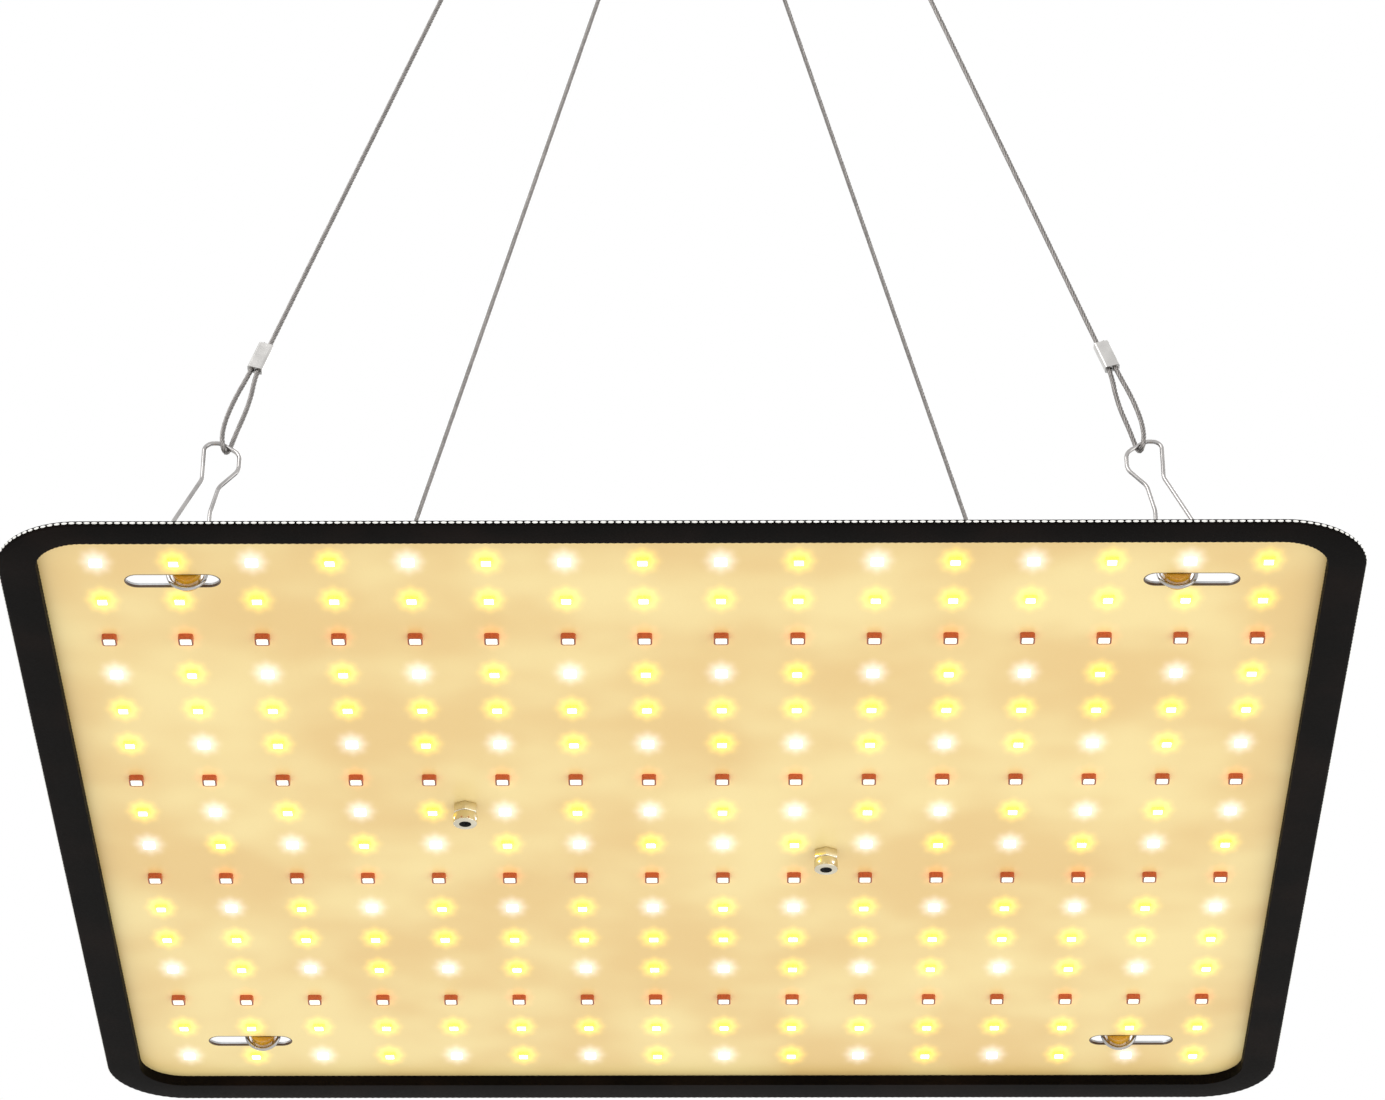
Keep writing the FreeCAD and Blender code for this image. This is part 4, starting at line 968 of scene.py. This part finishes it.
# ---------------------------------------------------------------------------------------------
# Driver
# ---------------------------------------------------------------------------------------------
@dataclass
class Driver:
    """The driver on the board's back, its fixings and its leads."""

    shop: Workshop
    wall: float = 1.2 * MM
    fold: float = 1.4 * MM
    lead: float = 1.8 * MM
    lead_length: float = 0.0445
    nut_flats: float = 5.5 * MM
    nut_hex: float = 2.4 * MM
    bore: float = 1.5 * MM
    sink: float = 1.3 * MM

    plain = {
        "driver_base": "case_metal",
        "input_gland": "gland_plastic",
        "output_grommet": "grommet_rubber",
        "board_connector": "socket_plastic",
        "driver_circuit_board": "circuit_laminate",
        "transformer_core": "ferrite",
        "transformer_winding": "copper_winding",
        "bulk_capacitor": "capacitor_can",
        "output_capacitors": "capacitor_can",
        "choke": "choke_winding",
        "power_transistors": "epoxy_package",
        "fuse": "fuse_glass",
        "board_standoffs": "standoff_nylon",
        "thermal_pad": "pad_silicone",
        "driver_spacers": "zinc_steel",
        "driver_screws": "zinc_steel",
        "cover_screws": "zinc_steel",
    }

    def cover(self) -> None:
        """Fold the cover from one sheet: open below, rounded along its folds."""
        low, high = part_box("driver_cover")
        size, middle = high - low, (high + low) / 2
        bm = bmesh.new()
        bmesh.ops.create_cube(bm, size=1.0)
        bmesh.ops.scale(bm, vec=size, verts=bm.verts)
        bmesh.ops.translate(bm, vec=middle, verts=bm.verts)
        bm.normal_update()
        floor = [f for f in bm.faces if f.normal.z < -0.9]
        bmesh.ops.delete(bm, geom=floor, context="FACES_ONLY")
        folds = [e for e in bm.edges if len(e.link_faces) == 2]
        rounded(bm, folds, self.fold, 4)
        bmesh.ops.recalc_face_normals(bm, faces=bm.faces)
        bmesh.ops.solidify(bm, geom=bm.faces, thickness=self.wall)
        mesh = self.shop.mesh("folded_cover", bm, self.shop.finishes.of("case_metal"))
        shade_smooth(mesh, 35.0)
        self.shop.piece("folded_cover", mesh, Body.LIGHT, "case_metal", ("driver_cover",))

    def nuts(self) -> None:
        """Make the two lock nuts: a chamfered hexagon with a round collar below, and a sunk bore lined black
        as painted shade.
        """
        low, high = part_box("lock_nuts")
        radius = self.nut_flats / math.sqrt(3)
        collar = self.nut_flats / 2 + 0.2 * MM
        edge_round = 0.28 * MM
        tall = high.z - low.z
        bm = bmesh.new()
        stages = ((radius, 0.0, self.nut_hex, 6), (collar, self.nut_hex, tall, 40))
        for r, top, bottom, segments in stages:
            made = bmesh.ops.create_cone(
                bm, cap_ends=True, segments=segments, radius1=r, radius2=r, depth=bottom - top
            )
            bmesh.ops.translate(bm, vec=(0, 0, -(top + bottom) / 2), verts=made["verts"])
            edges = {e for v in made["verts"] for e in v.link_edges}
            rings = [e for e in edges if abs(e.verts[0].co.z - e.verts[1].co.z) < 1e-7]
            rounded(bm, rings, edge_round, 3)
        bm.normal_update()
        end = min(bm.faces, key=lambda f: f.calc_center_median().z)
        rim = collar - edge_round - self.bore
        bmesh.ops.inset_region(bm, faces=[end], thickness=rim, use_even_offset=True)
        walls = bmesh.ops.inset_region(
            bm, faces=[end], thickness=1e-6, depth=0.0, use_even_offset=True
        )
        bmesh.ops.translate(bm, vec=(0, 0, self.sink), verts=end.verts)
        # The bore's walls and end take the black rubber as painted shade in the hole.
        for face in (*walls["faces"], end):
            face.material_index = 1
        template = bpy.data.meshes.new("nut")
        bm.to_mesh(template)
        bm.free()
        spots = []
        for x, y in (
            (low.x + radius, low.y + collar),
            (high.x - radius, high.y - collar),
        ):
            spots.append(Matrix.Translation((x, y, high.z)))
        of = self.shop.finishes.of
        bm = repeat(template, spots)
        mesh = self.shop.mesh("collar_nuts", bm, of("nut_plating"), of("grommet_rubber"))
        shade_smooth(mesh, 35.0)
        self.shop.piece("collar_nuts", mesh, Body.LIGHT, "nut_plating", ("lock_nuts",))

    def leads(self) -> None:
        """Run the two output leads from the case to the board's socket."""
        for sign, name, slot in ((-1, "lead_negative", "lead_black"), (1, "lead_positive", "lead_red")):
            low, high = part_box(name)
            y = (low.y + high.y) / 2
            top, bottom = high.z - self.lead / 2, low.z + self.lead / 2
            route = Route(
                [
                    Vector((low.x, y, top)),
                    Vector((low.x + 17 * MM, y, top)),
                    Vector((high.x - 13 * MM, y, bottom)),
                    Vector((high.x, y, bottom)),
                ]
            )
            curve = route.curve(f"output_{name}")
            curve.bevel_depth = self.lead / 2
            curve.bevel_resolution = 6
            curve.use_fill_caps = True
            curve.materials.append(self.shop.finishes.of(slot))
            item = bpy.data.objects.new(f"output_{name}", curve)
            bpy.context.scene.collection.objects.link(item)
            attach(item, Body.LIGHT.value)
            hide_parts(name)

    def build(self) -> None:
        """Make the driver."""
        self.leads()
        for name, slot in self.plain.items():
            dress(name, self.shop.finishes.of(slot))
        self.cover()
        self.nuts()


# ---------------------------------------------------------------------------------------------
# Studio
# ---------------------------------------------------------------------------------------------
@dataclass
class Studio:
    """The camera, the soft lights and the pale floor."""

    lens: float = 155.96
    sensor: float = 36.0
    rise: float = 29.586
    yaw: float = -0.509
    roll: float = 0.148
    eye: tuple[float, float, float] = (0.0130, -1.3180, -0.6692)
    light_tall: float = 0.7 * MM

    def camera(self) -> None:
        """Set the camera below and in front of the light, looking up at it."""
        rise, yaw, roll = (math.radians(a) for a in (self.rise, self.yaw, self.roll))
        ahead = Vector((math.sin(yaw) * math.cos(rise), math.cos(yaw) * math.cos(rise), math.sin(rise)))
        right = ahead.cross(Vector((0, 0, 1))).normalized()
        up = right.cross(ahead)
        across = right * math.cos(roll) + up * math.sin(roll)
        above = up * math.cos(roll) - right * math.sin(roll)
        turn = Matrix((across, above, -ahead)).transposed().to_4x4()
        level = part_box("led_board")[0].z - self.light_tall
        place = Matrix.Translation(Vector(self.eye) + Vector((0, 0, level)))
        data = bpy.data.cameras.new("camera")
        data.lens = self.lens
        data.sensor_width = self.sensor
        data.clip_start = 0.01
        data.clip_end = 50.0
        camera = bpy.data.objects.new("camera", data)
        camera.matrix_world = place @ turn
        bpy.context.scene.collection.objects.link(camera)
        bpy.context.scene.camera = camera

    def lamp(self, name: str, place: Vector, target: Vector, size: float, power: float) -> None:
        """Add one soft area light that looks at a target."""
        data = bpy.data.lights.new(name, "AREA")
        data.size = size
        data.energy = power
        lamp = bpy.data.objects.new(name, data)
        lamp.location = place
        lamp.rotation_euler = (target - place).to_track_quat("-Z", "Y").to_euler()
        bpy.context.scene.collection.objects.link(lamp)

    def surroundings(self) -> None:
        """Add the pale floor, the even world light and the soft lamps."""
        bm = bmesh.new()
        bmesh.ops.create_grid(bm, x_segments=1, y_segments=1, size=6.0)
        bmesh.ops.translate(bm, vec=(0, 0, -1.9), verts=bm.verts)
        mesh = bpy.data.meshes.new("floor")
        bm.to_mesh(mesh)
        bm.free()
        tree = Tree.new("pale_floor")
        shader = tree.add("BsdfPrincipled", {"Base Color": linear("#f2f2f0"), "Roughness": 0.9})
        mesh.materials.append(tree.finish(shader))
        floor = bpy.data.objects.new("floor", mesh)
        bpy.context.scene.collection.objects.link(floor)
        world = bpy.data.worlds.new("soft_white")
        world.use_nodes = True
        background = world.node_tree.nodes["Background"]
        background.inputs["Color"].default_value = (1, 1, 1, 1)
        background.inputs["Strength"].default_value = 1.0
        bpy.context.scene.world = world
        middle = Vector((0, 0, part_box("led_board")[0].z))
        self.lamp("key", Vector((-1.2, -1.4, 0.9)), middle, 1.2, 14.0)
        self.lamp("fill", Vector((1.5, -1.0, -0.9)), middle, 1.6, 8.0)
        self.lamp("back", Vector((0.4, 1.6, 0.9)), middle, 1.4, 12.0)
        bpy.context.scene.view_settings.view_transform = "Standard"

    def build(self) -> None:
        """Set up the studio."""
        self.camera()
        self.surroundings()


def main() -> None:
    """Build the light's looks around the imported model."""
    logging.basicConfig(level=logging.INFO, format="%(name)s %(message)s")
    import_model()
    shop = Workshop(Finishes())
    Studio().build()
    for side in Side:
        Bridle(shop, side).build()
    EdgeGuard(shop).build()
    LightField(shop, LightGrid()).build()
    Driver(shop).build()


if __name__ == "__main__":
    main()
